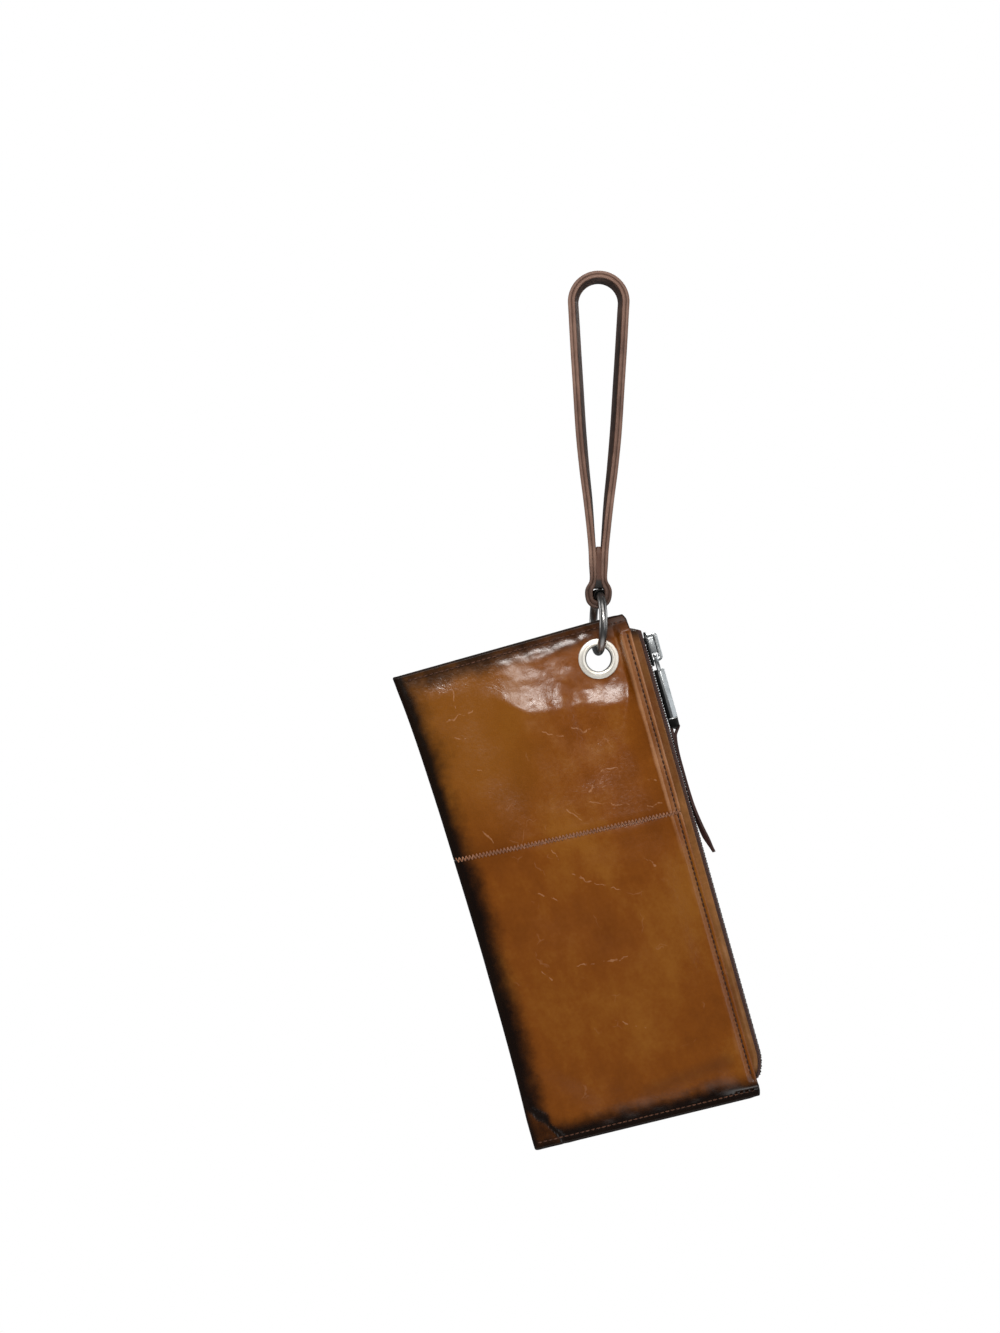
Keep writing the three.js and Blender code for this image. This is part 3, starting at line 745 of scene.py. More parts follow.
@dataclass(frozen=True)
class PolishedMetal:
    """Plated metal: a clear reflection, hairline scratches, a duller film that gathers in patches, and painted
    shade.
    """

    name: str
    colour: Colour
    film: Colour
    rough: float
    scratch: float = 0.35
    metallic: float = 1.0
    # Colour of painted shade on the pull, the slider's upper plate and the eyelet's bore
    soot: Colour = (0.012, 0.011, 0.01)

    def material(self) -> bpy.types.Material:
        """Builds the material: hairlines of stretched noise tilt the normal, and film and painted shade darken
        it.

        Returns:
            The material.
        """
        tree = Tree(self.name)
        patch = tree.noise(210, 4, 0.6)
        hair = tree.noise(1, 2, 0.6, tree.stretched((260, 6200, 5200), 0.4))
        cross = tree.noise(1, 2, 0.6, tree.stretched((5600, 5600, 330), -0.3))
        colour = tree.mix(tree.span(patch, 0.42, 0.72, 0, 0.65), self.colour, self.film)
        # Painted shade, where the mesh carries it
        colour = tree.mix(tree.value("soot"), colour, self.soot)
        rough = tree.sum((1.0, self.rough - 0.06), (0.14, patch), (0.06, hair))
        normal = tree.bump(tree.sum((1.0, hair), (0.7, cross)), 0.00006, self.scratch)
        return tree.dressed(Base_Color=colour, Metallic=self.metallic, Roughness=rough, Normal=normal)


@dataclass(frozen=True)
class WovenTape:
    """Zip tape: a dense twill of dyed yarn."""

    name: str
    dark: Colour
    light: Colour
    yarns: float = 2100.0
    tilt: float = 0.274

    def material(self) -> bpy.types.Material:
        """Builds the material: two sets of bands across each other make the weave's relief and its tone.

        Returns:
            The material.
        """
        tree = Tree(self.name)
        split = tree.node("ShaderNodeSeparateXYZ", {"Vector": tree.turned(self.tilt)})
        warp = tree.math("SINE", tree.math("MULTIPLY", split.outputs["X"], self.yarns * 3.1))
        lean = tree.math("ADD", split.outputs["Z"], tree.math("MULTIPLY", split.outputs["X"], 0.5))
        weft = tree.math("SINE", tree.math("MULTIPLY", lean, self.yarns * 2.6))
        weave = tree.sum((0.3, warp), (0.3, weft), (0.5, tree.noise(3000, 2)))
        colour = tree.mix(tree.span(weave, -0.4, 0.8), self.dark, self.light)
        normal = tree.bump(weave, 0.0003, 0.6)
        rough = tree.sum((1.0, 0.72), (0.2, tree.noise(500)))
        return tree.dressed(Base_Color=colour, Roughness=rough, Normal=normal, Sheen_Weight=0.25)


@dataclass(frozen=True)
class SewingThread:
    """Twisted sewing thread: slanting plies with worn, paler tops."""

    name: str
    dark: Colour
    light: Colour

    def material(self) -> bpy.types.Material:
        """Builds the material: slanting bands of fine noise for the plies, and cloudier noise for the wear.

        Returns:
            The material.
        """
        tree = Tree(self.name)
        ply = tree.noise(1, 2, 0.5, tree.stretched((3800, 3800, 1300), 0.7))
        wear = tree.noise(420, 3)
        tone = tree.sum((0.55, ply), (0.45, wear))
        colour = tree.ramp(tone, ((0.36, self.dark), (0.62, self.light)))
        normal = tree.bump(ply, 0.00012, 0.6)
        rough = tree.sum((1.0, 0.5), (0.3, wear))
        return tree.dressed(Base_Color=colour, Roughness=rough, Normal=normal, Specular_IOR_Level=0.15)


CARAMEL = WaxedLeather(
    "caramel_leather",
    deep=(0.15, 0.041, 0.0026),
    middle=(0.195, 0.056, 0.004),
    light=(0.245, 0.087, 0.009),
    worn=(0.45, 0.235, 0.12),
    rough=0.195,
    gloss=0.36,
    creases=CREASES,
)
FACING = WaxedLeather(
    "facing_leather",
    deep=(0.125, 0.04, 0.009),
    middle=(0.168, 0.071, 0.02),
    light=(0.26, 0.11, 0.032),
    worn=(0.42, 0.24, 0.13),
    burnt_and_shade=(0.016, 0.006, 0.004),
)
STRAP = WaxedLeather(
    "strap_leather",
    deep=(0.095, 0.05, 0.036),
    middle=(0.155, 0.086, 0.063),
    light=(0.235, 0.14, 0.105),
    worn=(0.31, 0.2, 0.155),
    burnt_and_shade=(0.012, 0.006, 0.0045),
    rough=0.46,
    grain=1500.0,
)
FILLER = WaxedLeather(
    "neck_leather",
    deep=(0.042, 0.018, 0.011),
    middle=(0.08, 0.035, 0.022),
    light=(0.13, 0.06, 0.038),
    worn=(0.24, 0.13, 0.09),
    rough=0.52,
    grain=1700.0,
)
STRIP = WaxedLeather(
    "strip_leather",
    deep=(0.02, 0.009, 0.008),
    middle=(0.042, 0.019, 0.017),
    light=(0.08, 0.04, 0.034),
    worn=(0.12, 0.065, 0.055),
    rough=0.46,
    grain=1700.0,
)
EYELET_NICKEL = PolishedMetal("eyelet_nickel", (0.9, 0.87, 0.79), (0.8, 0.76, 0.66), 0.34, metallic=0.45)
SLIDER_NICKEL = PolishedMetal("slider_nickel", (0.47, 0.495, 0.505), (0.29, 0.31, 0.315), 0.26)
RING_NICKEL = PolishedMetal("ring_nickel", (0.27, 0.265, 0.26), (0.12, 0.115, 0.11), 0.26)
TOOTH_METAL = PolishedMetal("tooth_metal", (0.03, 0.024, 0.021), (0.014, 0.011, 0.01), 0.44)
TAPE_CLOTH = WovenTape("zip_tape_cloth", (0.018, 0.0065, 0.0045), (0.062, 0.02, 0.013))
DARK_THREAD = SewingThread("dark_thread", (0.018, 0.0075, 0.0045), (0.075, 0.034, 0.02))
HEM_THREAD = SewingThread("hem_thread", (0.032, 0.013, 0.008), (0.13, 0.058, 0.035))
PINK_THREAD = SewingThread("pale_thread", (0.17, 0.066, 0.032), (0.36, 0.175, 0.1))


# Putting pieces into the scene


Finish = WaxedLeather | PolishedMetal | WovenTape | SewingThread


@dataclass
class Workshop:
    """Turns skins into pieces of the scene, keeping one material for each finish."""

    materials: dict[str, bpy.types.Material] = field(default_factory=dict)

    def make(
        self, name: str, skin: Skin, finish: Finish, body: Body, slot: str, nodes: Sequence[str] = ()
    ) -> None:
        """Makes a piece, dresses it and ties it to the frame.

        Args:
            name: The piece's name.
            skin: Its shape, in millimetres of the row frame.
            finish: Its finish.
            body: The body that it rides on.
            slot: Not used.
            nodes: The nodes that it stands for.
        """
        mesh = bpy.data.meshes.new(name)
        count, faces = len(skin.points), len(skin.faces)
        mesh.vertices.add(count)
        mesh.vertices.foreach_set("co", (skin.points * MM).astype(np.float32).ravel())
        mesh.loops.add(faces * 4)
        mesh.loops.foreach_set("vertex_index", skin.faces.astype(np.int32).ravel())
        mesh.polygons.add(faces)
        mesh.polygons.foreach_set("loop_start", np.arange(0, faces * 4, 4, dtype=np.int32))
        mesh.polygons.foreach_set("use_smooth", np.ones(faces, bool))
        for value, numbers in skin.values.items():
            kind, member = ("FLOAT_VECTOR", "vector") if numbers.ndim == 2 else ("FLOAT", "value")
            made = mesh.attributes.new(value, kind, "POINT")
            made.data.foreach_set(member, numbers.astype(np.float32).ravel())
        mesh.update(calc_edges=True)
        if finish.name not in self.materials:
            self.materials[finish.name] = finish.material()
        mesh.materials.append(self.materials[finish.name])
        piece = bpy.data.objects.new(name, mesh)
        bpy.context.scene.collection.objects.link(piece)
        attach(piece, body.value)
        if nodes:
            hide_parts(*nodes)
        LOG.info("%s: %d faces on %s", name, faces, body.value)

    def hang(
        self,
        name: str,
        skin: Skin,
        finish: Finish,
        slot: str,
        nodes: Sequence[str] = (),
        body: Body = Body.POUCH,
    ) -> None:
        """Makes a piece from a skin in the pouch's frame, hung as the pouch is."""
        self.make(name, skin.moved(HANG.place), finish, body, slot, nodes)


@dataclass(frozen=True)
class Hang:
    """How the pouch hangs from the ring: its tilt, and its eyelet's place under the origin."""

    tilt: float = 15.7
    drop: float = 166.2

    def place(self, points: Array) -> Array:
        """Points of the pouch's frame in the row frame: turned by the tilt about Y, then let down.

        Args:
            points: The points.

        Returns:
            The same points, placed.
        """
        cos, sin = np.cos(np.radians(self.tilt)), np.sin(np.radians(self.tilt))
        x, y, z = points[..., 0], points[..., 1], points[..., 2]
        return places(x * cos - z * sin, y, x * sin + z * cos - self.drop)


@dataclass(frozen=True)
class Dent:
    """A place where the two walls are drawn flat together."""

    across: float
    down: float
    flat: float
    reach: float


@dataclass(frozen=True)
class Ridge:
    """A soft ridge of the leather along a line."""

    line: Line
    rise: float
    width: float


@dataclass(frozen=True)
class Envelope:
    """The leather envelope's shape, as the depth of its outer face at each place across and down."""

    sections: Table = Table(
        ("down", "fold", "edge", "slant", "belly", "mouth"),
        (
            (0, -89.6, 15.4, 0, 0, 0),
            (3.2, -89.3, 16.9, 0.1, 0, 0.2),
            (8, -88.9, 17, 0.4, 0.2, 4.6),
            (12, -88.5, 17, 0.6, 0.45, 4.6),
            (24, -87.6, 17, 1.5, 1.3, 4.6),
            (37, -86.9, 17, 2.6, 2.4, 4.6),
            (52, -86.3, 17, 3.8, 3.8, 4.6),
            (70, -85.7, 17, 5, 5.2, 4.6),
            (88, -85.3, 17, 5.8, 5.7, 4.6),
            (110, -84.8, 17, 5.6, 6.2, 4.6),
            (135, -84.5, 17, 5.2, 6.2, 4.6),
            (160, -84.5, 17, 4.8, 5.6, 4.6),
            (182, -84.7, 17, 4.3, 4.4, 4.6),
            (197, -85.1, 17, 4, 2.8, 4.6),
            (207, -85.4, 17, 3.8, 1.3, 4.6),
            (211, -85.4, 17.1, 3.7, 0.5, 4.6),
            (213.2, -85.4, 17.2, 3.7, 0.2, 4.5),
            (215.6, -85.4, 17.4, 3.6, 0, 0.1),
            (219, -85.3, 16.6, 3.6, 0, 0),
        ),
    )
    cross: Table = Table(
        ("share", "lift"),
        ((0, 0), (0.05, 0.24), (0.14, 0.56), (0.3, 0.88), (0.52, 1), (0.76, 0.96), (1, 0.8)),
    )
    dents: tuple[Dent, ...] = (Dent(0, 16.5, 12, 90), Dent(-85.4, 219, 17, 38))
    lip: Table = Table(
        ("across", "down", "even", "steep"),
        (
            (-90, 14, 0, 0),
            (-60, 17, 0, 0),
            (-51, 20, 0.7, 0.1),
            (-46, 23, 1.5, 0.25),
            (-42, 26, 2.2, 0.4),
            (-38, 29.5, 2.6, 0.5),
            (-30, 32, 2.7, 0.6),
            (-20, 32.8, 1.7, 0.8),
            (-14, 33.6, 0.5, 1.1),
            (-9, 34.4, 0, 1.3),
            (0, 35.6, 0, 1.35),
            (8, 36.5, 0, 1.25),
            (13, 36.8, 0, 0.8),
            (20, 37, 0, 0.8),
        ),
    )
    ridges: tuple[Ridge, ...] = (
        Ridge(((-60, 118), (-12, 136)), -0.6, 13),
        Ridge(((-30, 176), (4, 190)), 0.5, 10),
    )
    streak: Line = ((-31, 10.2), (-15, 7.7), (-5, 6.6))
    burn: Table = Table(
        ("far", "upper", "low", "top"),
        (
            (0, 0.5, 0, 5.2),
            (1.5, 1.4, 0.9, 6.5),
            (2.5, 2.4, 1.5, 6.8),
            (3.5, 4, 2.2, 6.9),
            (4.5, 6.1, 3.1, 7.3),
            (5.5, 7.7, 4.4, 7.8),
            (6.5, 8.7, 5.9, 8.4),
            (8.5, 10, 8.4, 10),
            (10, 10.9, 10, 11.6),
            (14, 13, 14, 15),
            (120, 40, 120, 60),
        ),
    )
    tab_crease: Line = ((-84.6, 196.5), (-77.5, 206.3), (-72.9, 213.8), (-71.5, 218))
    # A soft veil of painted highlight below the bowl's lip
    painted_veil: Line = ((-36, 36), (-22, 48), (-12, 62))
    smear: Line = ((-30, 205), (-8, 202), (6, 200))
    gap: float = 0.3
    wall: float = 1.6
    length: float = 219.0
    above_eyelet: float = 16.5
    seam: float = 87.7
    mouth_full: float = 4.3
    mouth_start: float = 7.6
    mouth_ease: float = 9.0
    hem: float = 3.2
    pinch: float = 0.3
    zip_row: float = 2.1
    zip_from: float = 9.0
    zip_to: float = 211.0
    zip_ridge: float = 4.9
    zip_ridge_half: float = 1.1
    collar: float = 7.4
    swell_off: float = 3.2
    eyelet_press: float = 9.2
    lip_rise: float = 8.5
    let_off: float = 75.0
    far_off: float = 400.0
    front_seed: int = 10
    back_seed: int = 50

    def from_zip(self, across: Array, down: Array) -> Array:
        """Distance in from the zip edge."""
        return self.sections.read("edge", down) - across

    def from_fold(self, across: Array, down: Array) -> Array:
        """Distance in from the fold."""
        return across - self.sections.read("fold", down)

    def from_eye(self, across: Array, down: Array) -> Array:
        """Distance from the eyelet's centre."""
        return np.hypot(across, down - self.above_eyelet)

    def from_end(self, down: Array) -> Array:
        """Distance from the nearer of the two sewn ends."""
        return np.minimum(down, self.length - down)

    def past_lip(self, across: Array, down: Array) -> Array:
        """Distance below the bowl's lip."""
        return down - self.lip.read("down", across)

    def from_tab(self, across: Array, down: Array) -> Array:
        """Distance from the ragged crease that marks off the lower fold corner."""
        x, y = across + 0.6 * ripple(across, down, 7, 91), down + 0.6 * ripple(across, down, 7, 92)
        return to_line(x, y, self.tab_crease)

    def along_zip(self, down: Array) -> Array:
        """One along the zip, falling to nought at its ends."""
        top = ease(down, self.zip_from - 2, self.zip_from + 1)
        return top * (1 - ease(down, self.zip_to - 2, self.zip_to + 2))

    def mouth_from(self, down: Array) -> Array:
        """How far from the zip edge the wall starts to open toward the mouth: near at the top, far below."""
        return self.mouth_start + self.mouth_ease * ease(down, 28, 52)

    def upper_share(self, down: Array) -> Array:
        """One over the upper wrap, falling to a part below the seam, where the zip's ridge dies away."""
        return 1 - 0.75 * ease(down, 80, 112)

    def collar_share(self, down: Array) -> Array:
        """One at the zip's upper end, where a second ridge lies beside the first, and nought below."""
        return 1 - ease(down, 15, 27)

    def crinkle(self, across: Array, down: Array) -> Array:
        """How far the leather is crinkled at each place: full in the bowl, up to its lip."""
        inside = ease(across, -47, -40) * (1 - ease(across, 8, 13)) * ease(down, 4, 8)
        return inside * (1 - ease(self.past_lip(across, down), -1.5, 3))

    def depth(self, across: Array, down: Array) -> Array:
        """Depth of the outer face: a round fold, plus the belly, flat at each dent, or the mouth by the zip.

        Args:
            across: Places across.
            down: Places down.

        Returns:
            Millimetres out of the middle plane.
        """
        fold, edge = self.sections.read("fold", down), self.sections.read("edge", down)
        lift = self.cross.read("lift", np.clip((across - fold) / (edge - fold), 0, 1))
        swell = self.sections.read("belly", down) * lift
        for ridge in self.ridges:
            near = bell(to_line(across, down, ridge.line), ridge.width)
            swell = swell + ridge.rise * near * np.minimum(1, swell / self.wall)
        for dent in self.dents:
            off = np.hypot(across - dent.across, down - dent.down)
            share = np.clip((off - dent.flat) / (dent.reach - dent.flat), 0, 1)
            swell = swell * (share + ease(share, 0, 1)) / 2
        start = self.mouth_from(down)
        mouth = 1 - ease((edge - across - self.mouth_full) / (start - self.mouth_full), 0, 1)
        space = swell + (self.sections.read("mouth", down) - swell) * mouth
        bend = self.gap + self.wall
        toward = 1 - np.clip((across - fold) / bend, 0, 1)
        return bend * np.sqrt(np.maximum(1 - toward**2, 0)) + space

    def bowl(self, across: Array, down: Array) -> Array:
        """The bowl hung from the eyelet: it rises evenly below the hem, steeply at its lip, and is let off.

        The even rise follows (d + the root of d^2 + w^2) / 2 of the distance d past the hem's foot, which
        starts it softly.

        Args:
            across: Places across.
            down: Places down.

        Returns:
            Millimetres out.
        """
        lip, even, steep = (self.lip.read(name, across) for name in ("down", "even", "steep"))
        foot, soft = 2 * self.hem, 3.0
        past, full = np.minimum(down, lip) - foot, lip - foot
        share = (past + np.hypot(past, soft)) / (full + np.hypot(full, soft))
        rise = even * share + steep * ease(down - lip, -self.lip_rise, 1)
        return rise - (even + steep) * ease(down - lip, 1.5, self.let_off)

    def zip_edge(self, across: Array, down: Array) -> Array:
        """Relief along the zip: a ridge, the collar's ridge above, a pared border and the groove of its sewing.

        Args:
            across: Places across.
            down: Places down.

        Returns:
            Millimetres to add to the depth.
        """
        off = self.from_zip(across, down)
        ridge = 0.5 * self.upper_share(down) * bell(off - self.zip_ridge, self.zip_ridge_half)
        collar = 0.3 * self.collar_share(down) * bell(off - self.collar, 0.9)
        border = 0.55 * (1 - ease(off, 2.4, 4.4))
        groove = 0.22 * bell(off - self.zip_row, 0.55)
        return self.along_zip(down) * (ridge + collar - border - groove)

    def sewing(self, across: Array, down: Array, seed: int) -> Array:
        """Relief of the sewing: hems drawn together and puckered, with grooves at the lower hem and the seam.

        Args:
            across: Places across.
            down: Places down.
            seed: Picks the puckers.

        Returns:
            Millimetres to add to the depth.
        """
        off_zip, off_fold = self.from_zip(across, down), self.from_fold(across, down)
        off_end, off_hem = self.from_end(down), self.length - down - self.hem
        off_seam = np.abs(down - self.seam)
        sewn = np.maximum((1 - ease(off_end, 1, 16)) * ease(off_zip, 4, 10), 1 - ease(off_end, 2.6, 5.4))
        puckers = ripple(across, down * 0.25, 9, seed + 1) * bell(off_end - self.hem - 1.5, 5)
        puckers = puckers * ease(off_end, self.hem, 7) * ease(off_fold, 0, 6) * ease(off_zip, 4, 10)
        return (
            np.where(down < self.seam, 0.035, 0.12) * puckers
            - self.pinch * sewn * ease(off_fold, 1, 8)
            - 0.06 * bell(off_hem, 0.6)
            + 0.06 * bell(off_hem - self.swell_off, 1.8)
            - 0.1 * bell(off_seam, 1.1)
            + 0.06 * bell(off_seam - self.swell_off, 1.6)
        )

    def drape(self, across: Array, down: Array, seed: int) -> Array:
        """Relief of the hang: the crinkled bowl and its streak, pulls round the eyelet and the eyelet's press.

        Args:
            across: Places across.
            down: Places down.
            seed: Picks the crinkles and pulls.

        Returns:
            Millimetres to add to the depth.
        """
        off_zip, off_eye = self.from_zip(across, down), self.from_eye(across, down)
        angle = np.arctan2(down - self.above_eyelet, across)
        pulls = np.cos(9 * angle + 2.2 * np.sin(2 * angle + seed)) * bell(off_eye - 15, 6)
        folds = 0.13 * np.abs(ripple(across, down, 14, seed + 2)) + 0.025 * ripple(across, down, 5, seed + 3)
        return (
            self.bowl(across, down) * ease(off_zip, 4.5, self.mouth_from(down) + 2)
            + self.crinkle(across, down) * folds * ease(off_zip, 6, 10)
            + 0.24 * bell(to_line(across, down, self.streak), 2)
            + 0.1 * pulls * (1 - ease(down, 23, 28))
            - 0.2 * bell(off_eye - self.eyelet_press, 1.6)
        )

    def relief(self, across: Array, down: Array, side: Side) -> Array:
        """Fine shape on top of the depth: zip edge, sewing, drape, the corner's crease and a hand's unevenness.

        Args:
            across: Places across.
            down: Places down.
            side: The wall.

        Returns:
            Millimetres to add to the depth.
        """
        seed = self.front_seed if side is Side.FRONT else self.back_seed
        free = ease(self.from_fold(across, down), 1, 12) * ease(self.from_zip(across, down), 7, 16)
        free = free * ease(self.from_end(down), 4, 14) * ease(self.from_eye(across, down), 9, 16)
        uneven = 0.2 * ripple(across, down, 48, seed + 4) + 0.05 * ripple(across, down, 17, seed + 5)
        off_tab = self.from_tab(across, down)
        corner = 0.25 * bell(off_tab - 3.0, 2.2) - 0.45 * bell(off_tab, 0.8)
        shaped = self.zip_edge(across, down) + self.sewing(across, down, seed) + self.drape(across, down, seed)
        return shaped + corner + free * uneven

    def outer(self, across: Array, down: Array, side: Side, lift: Array | float = 0.0) -> Array:
        """Points of the outer face in the pouch's frame.

        Args:
            across: Places across.
            down: Places down.
            side: The wall.
            lift: Distance out of the face.

        Returns:
            The points, one for each place.
        """
        across, down = np.broadcast_arrays(np.asarray(across, float), np.asarray(down, float))
        fold, edge = self.sections.read("fold", down), self.sections.read("edge", down)
        lower = self.sections.read("slant", down) * ((across - fold) / (edge - fold) - 0.5)
        softened = ease(across - fold, 0, 3)
        depth = self.depth(across, down) + self.relief(across, down, side) * softened + lift
        return places(across, side.value * depth, self.above_eyelet - down - lower)

    def burnish(self, across: Array, down: Array) -> Array:
        """Distance from the burnt edges, as the burn's table draws it out or in.

        Edges are joined as minus the logarithm of the sum of e to the minus each distance. The lower fold
        corner, beyond its crease, burns by a rule of its own, and its crease is darkened again as painted
        shade.

        Args:
            across: Places across.
            down: Places down.

        Returns:
            Millimetres.
        """
        off_fold, off_low = self.from_fold(across, down), self.length - down
        upper = self.burn.read("upper", off_fold)
        edges = np.stack([
            upper + (off_fold - upper) * ease(down, 66, 96),
            self.burn.read("low", off_low),
            self.burn.read("top", down) + 1.5 * ease(across, 2, 13),
        ])
        near = -np.log(np.exp(-edges).sum(0))
        (x0, y0), (x1, y1) = self.tab_crease[0], self.tab_crease[-1]
        beyond = ((across - x0) * (y1 - y0) - (down - y0) * (x1 - x0)) / np.hypot(x1 - x0, y1 - y0)
        in_tab = 1 - ease(beyond, -1.5, 0.5)
        tab = np.minimum(7.3, 3.5 + 1.1 * np.minimum(off_fold, off_low))
        return np.maximum(near + (tab - near) * in_tab - 6 * bell(self.from_tab(across, down), 0.9), 1)

    def stretch(self, across: Array, down: Array) -> Array:
        """Share of paleness: by the zip and in the bowl partly stretch and partly painted highlight, below the
        bowl and on its streak painted highlight.

        Args:
            across: Places across.
            down: Places down.

        Returns:
            Shares from nought to one.
        """
        off, along = self.from_zip(across, down), self.along_zip(down)
        border = 0.62 * (1 - ease(off, 3.4, 5.4)) + 0.3 * bell(off - 0.5, 0.5)
        painted_veil = bell(to_line(across, down, self.painted_veil), 7.5) * ease(self.past_lip(across, down), 1, 5)
        return np.maximum.reduce([
            # By the zip: paler partly from stretch and partly as painted highlight
            along * self.upper_share(down) * bell(off - self.zip_ridge, self.zip_ridge_half),
            0.8 * along * self.collar_share(down) * bell(off - self.collar, 0.8),
            along * self.upper_share(down) * border,
            # In the bowl: paler partly from stretch and partly as painted sheen
            0.3 * self.crinkle(across, down),
            # Painted highlight: the veil below the lip and a line along the streak
            0.34 * painted_veil,
            0.3 * bell(to_line(across, down + 1.2, self.streak), 1.3),
        ])

    def marks(self, across: Array, down: Array, side: Side) -> dict[str, Array]:
        """The values that the leather's finish reads at each place.

        Args:
            across: Places across.
            down: Places down.
            side: The wall.

        Returns:
            "burnish", a distance from the burnt edges; shares of "groove", painted shade in grooves, "stretch",
            paleness partly painted highlight, "wrinkle", "wax", "stain", a stain and painted shade toward the
            bottom, "gold" and
            "dull"; "paint", how far the rim there is painted; and "spot", the place itself, which lies far off
            on the back so that the front's creases stay there.
        """
        front = side is Side.FRONT
        off_zip, off_lip = self.from_zip(across, down), self.past_lip(across, down)
        # Painted shade in the grooves of the zip's sewing, the seam and the hems, along the corner's crease and
        # below the zip's end
        groove = np.maximum.reduce([
            0.4 * self.along_zip(down) * bell(off_zip - self.zip_row, 0.6),
            0.3 * bell(down - self.seam, 0.6),
            0.5 * bell(self.from_end(down) - self.hem, 0.5),
            bell(self.from_tab(across, down), 0.6),
            0.9 * bell(down - self.zip_to - 3.5, 2.4) * ease(across, 3, 10),
        ])
        closed = np.maximum(1 - ease(down, 6, 8.5), ease(down, self.zip_to, self.zip_to + 2))
        smear = bell(to_line(across, down, self.smear), 4.5) if front else 0 * down
        return {
            "burnish": self.burnish(across, down),
            "groove": groove,
            "stretch": self.stretch(across, down),
            "wrinkle": self.crinkle(across, down),
            "wax": bell(off_lip + 3.5, 3.5) * ease(across, -40, -30) * (1 - ease(across, 3, 12)),
            # A stain on the front, and painted shade darker toward the bottom
            "stain": np.maximum(smear, 0.3 * ease(down, 50, 150)),
            "gold": ease(-across, 15, 60) * (1 - ease(down, 40, 95)),
            "dull": ease(across, 3, 8) * (1 - ease(down, 6, 9)),
            "paint": np.maximum(ease(off_zip, 1.2, 3), closed) * (1 - 0.7 * bell(down - self.seam, 3)),
            "spot": places(across, down, 0.0 if front else self.far_off),
        }


HANG = Hang()
ENVELOPE = Envelope()


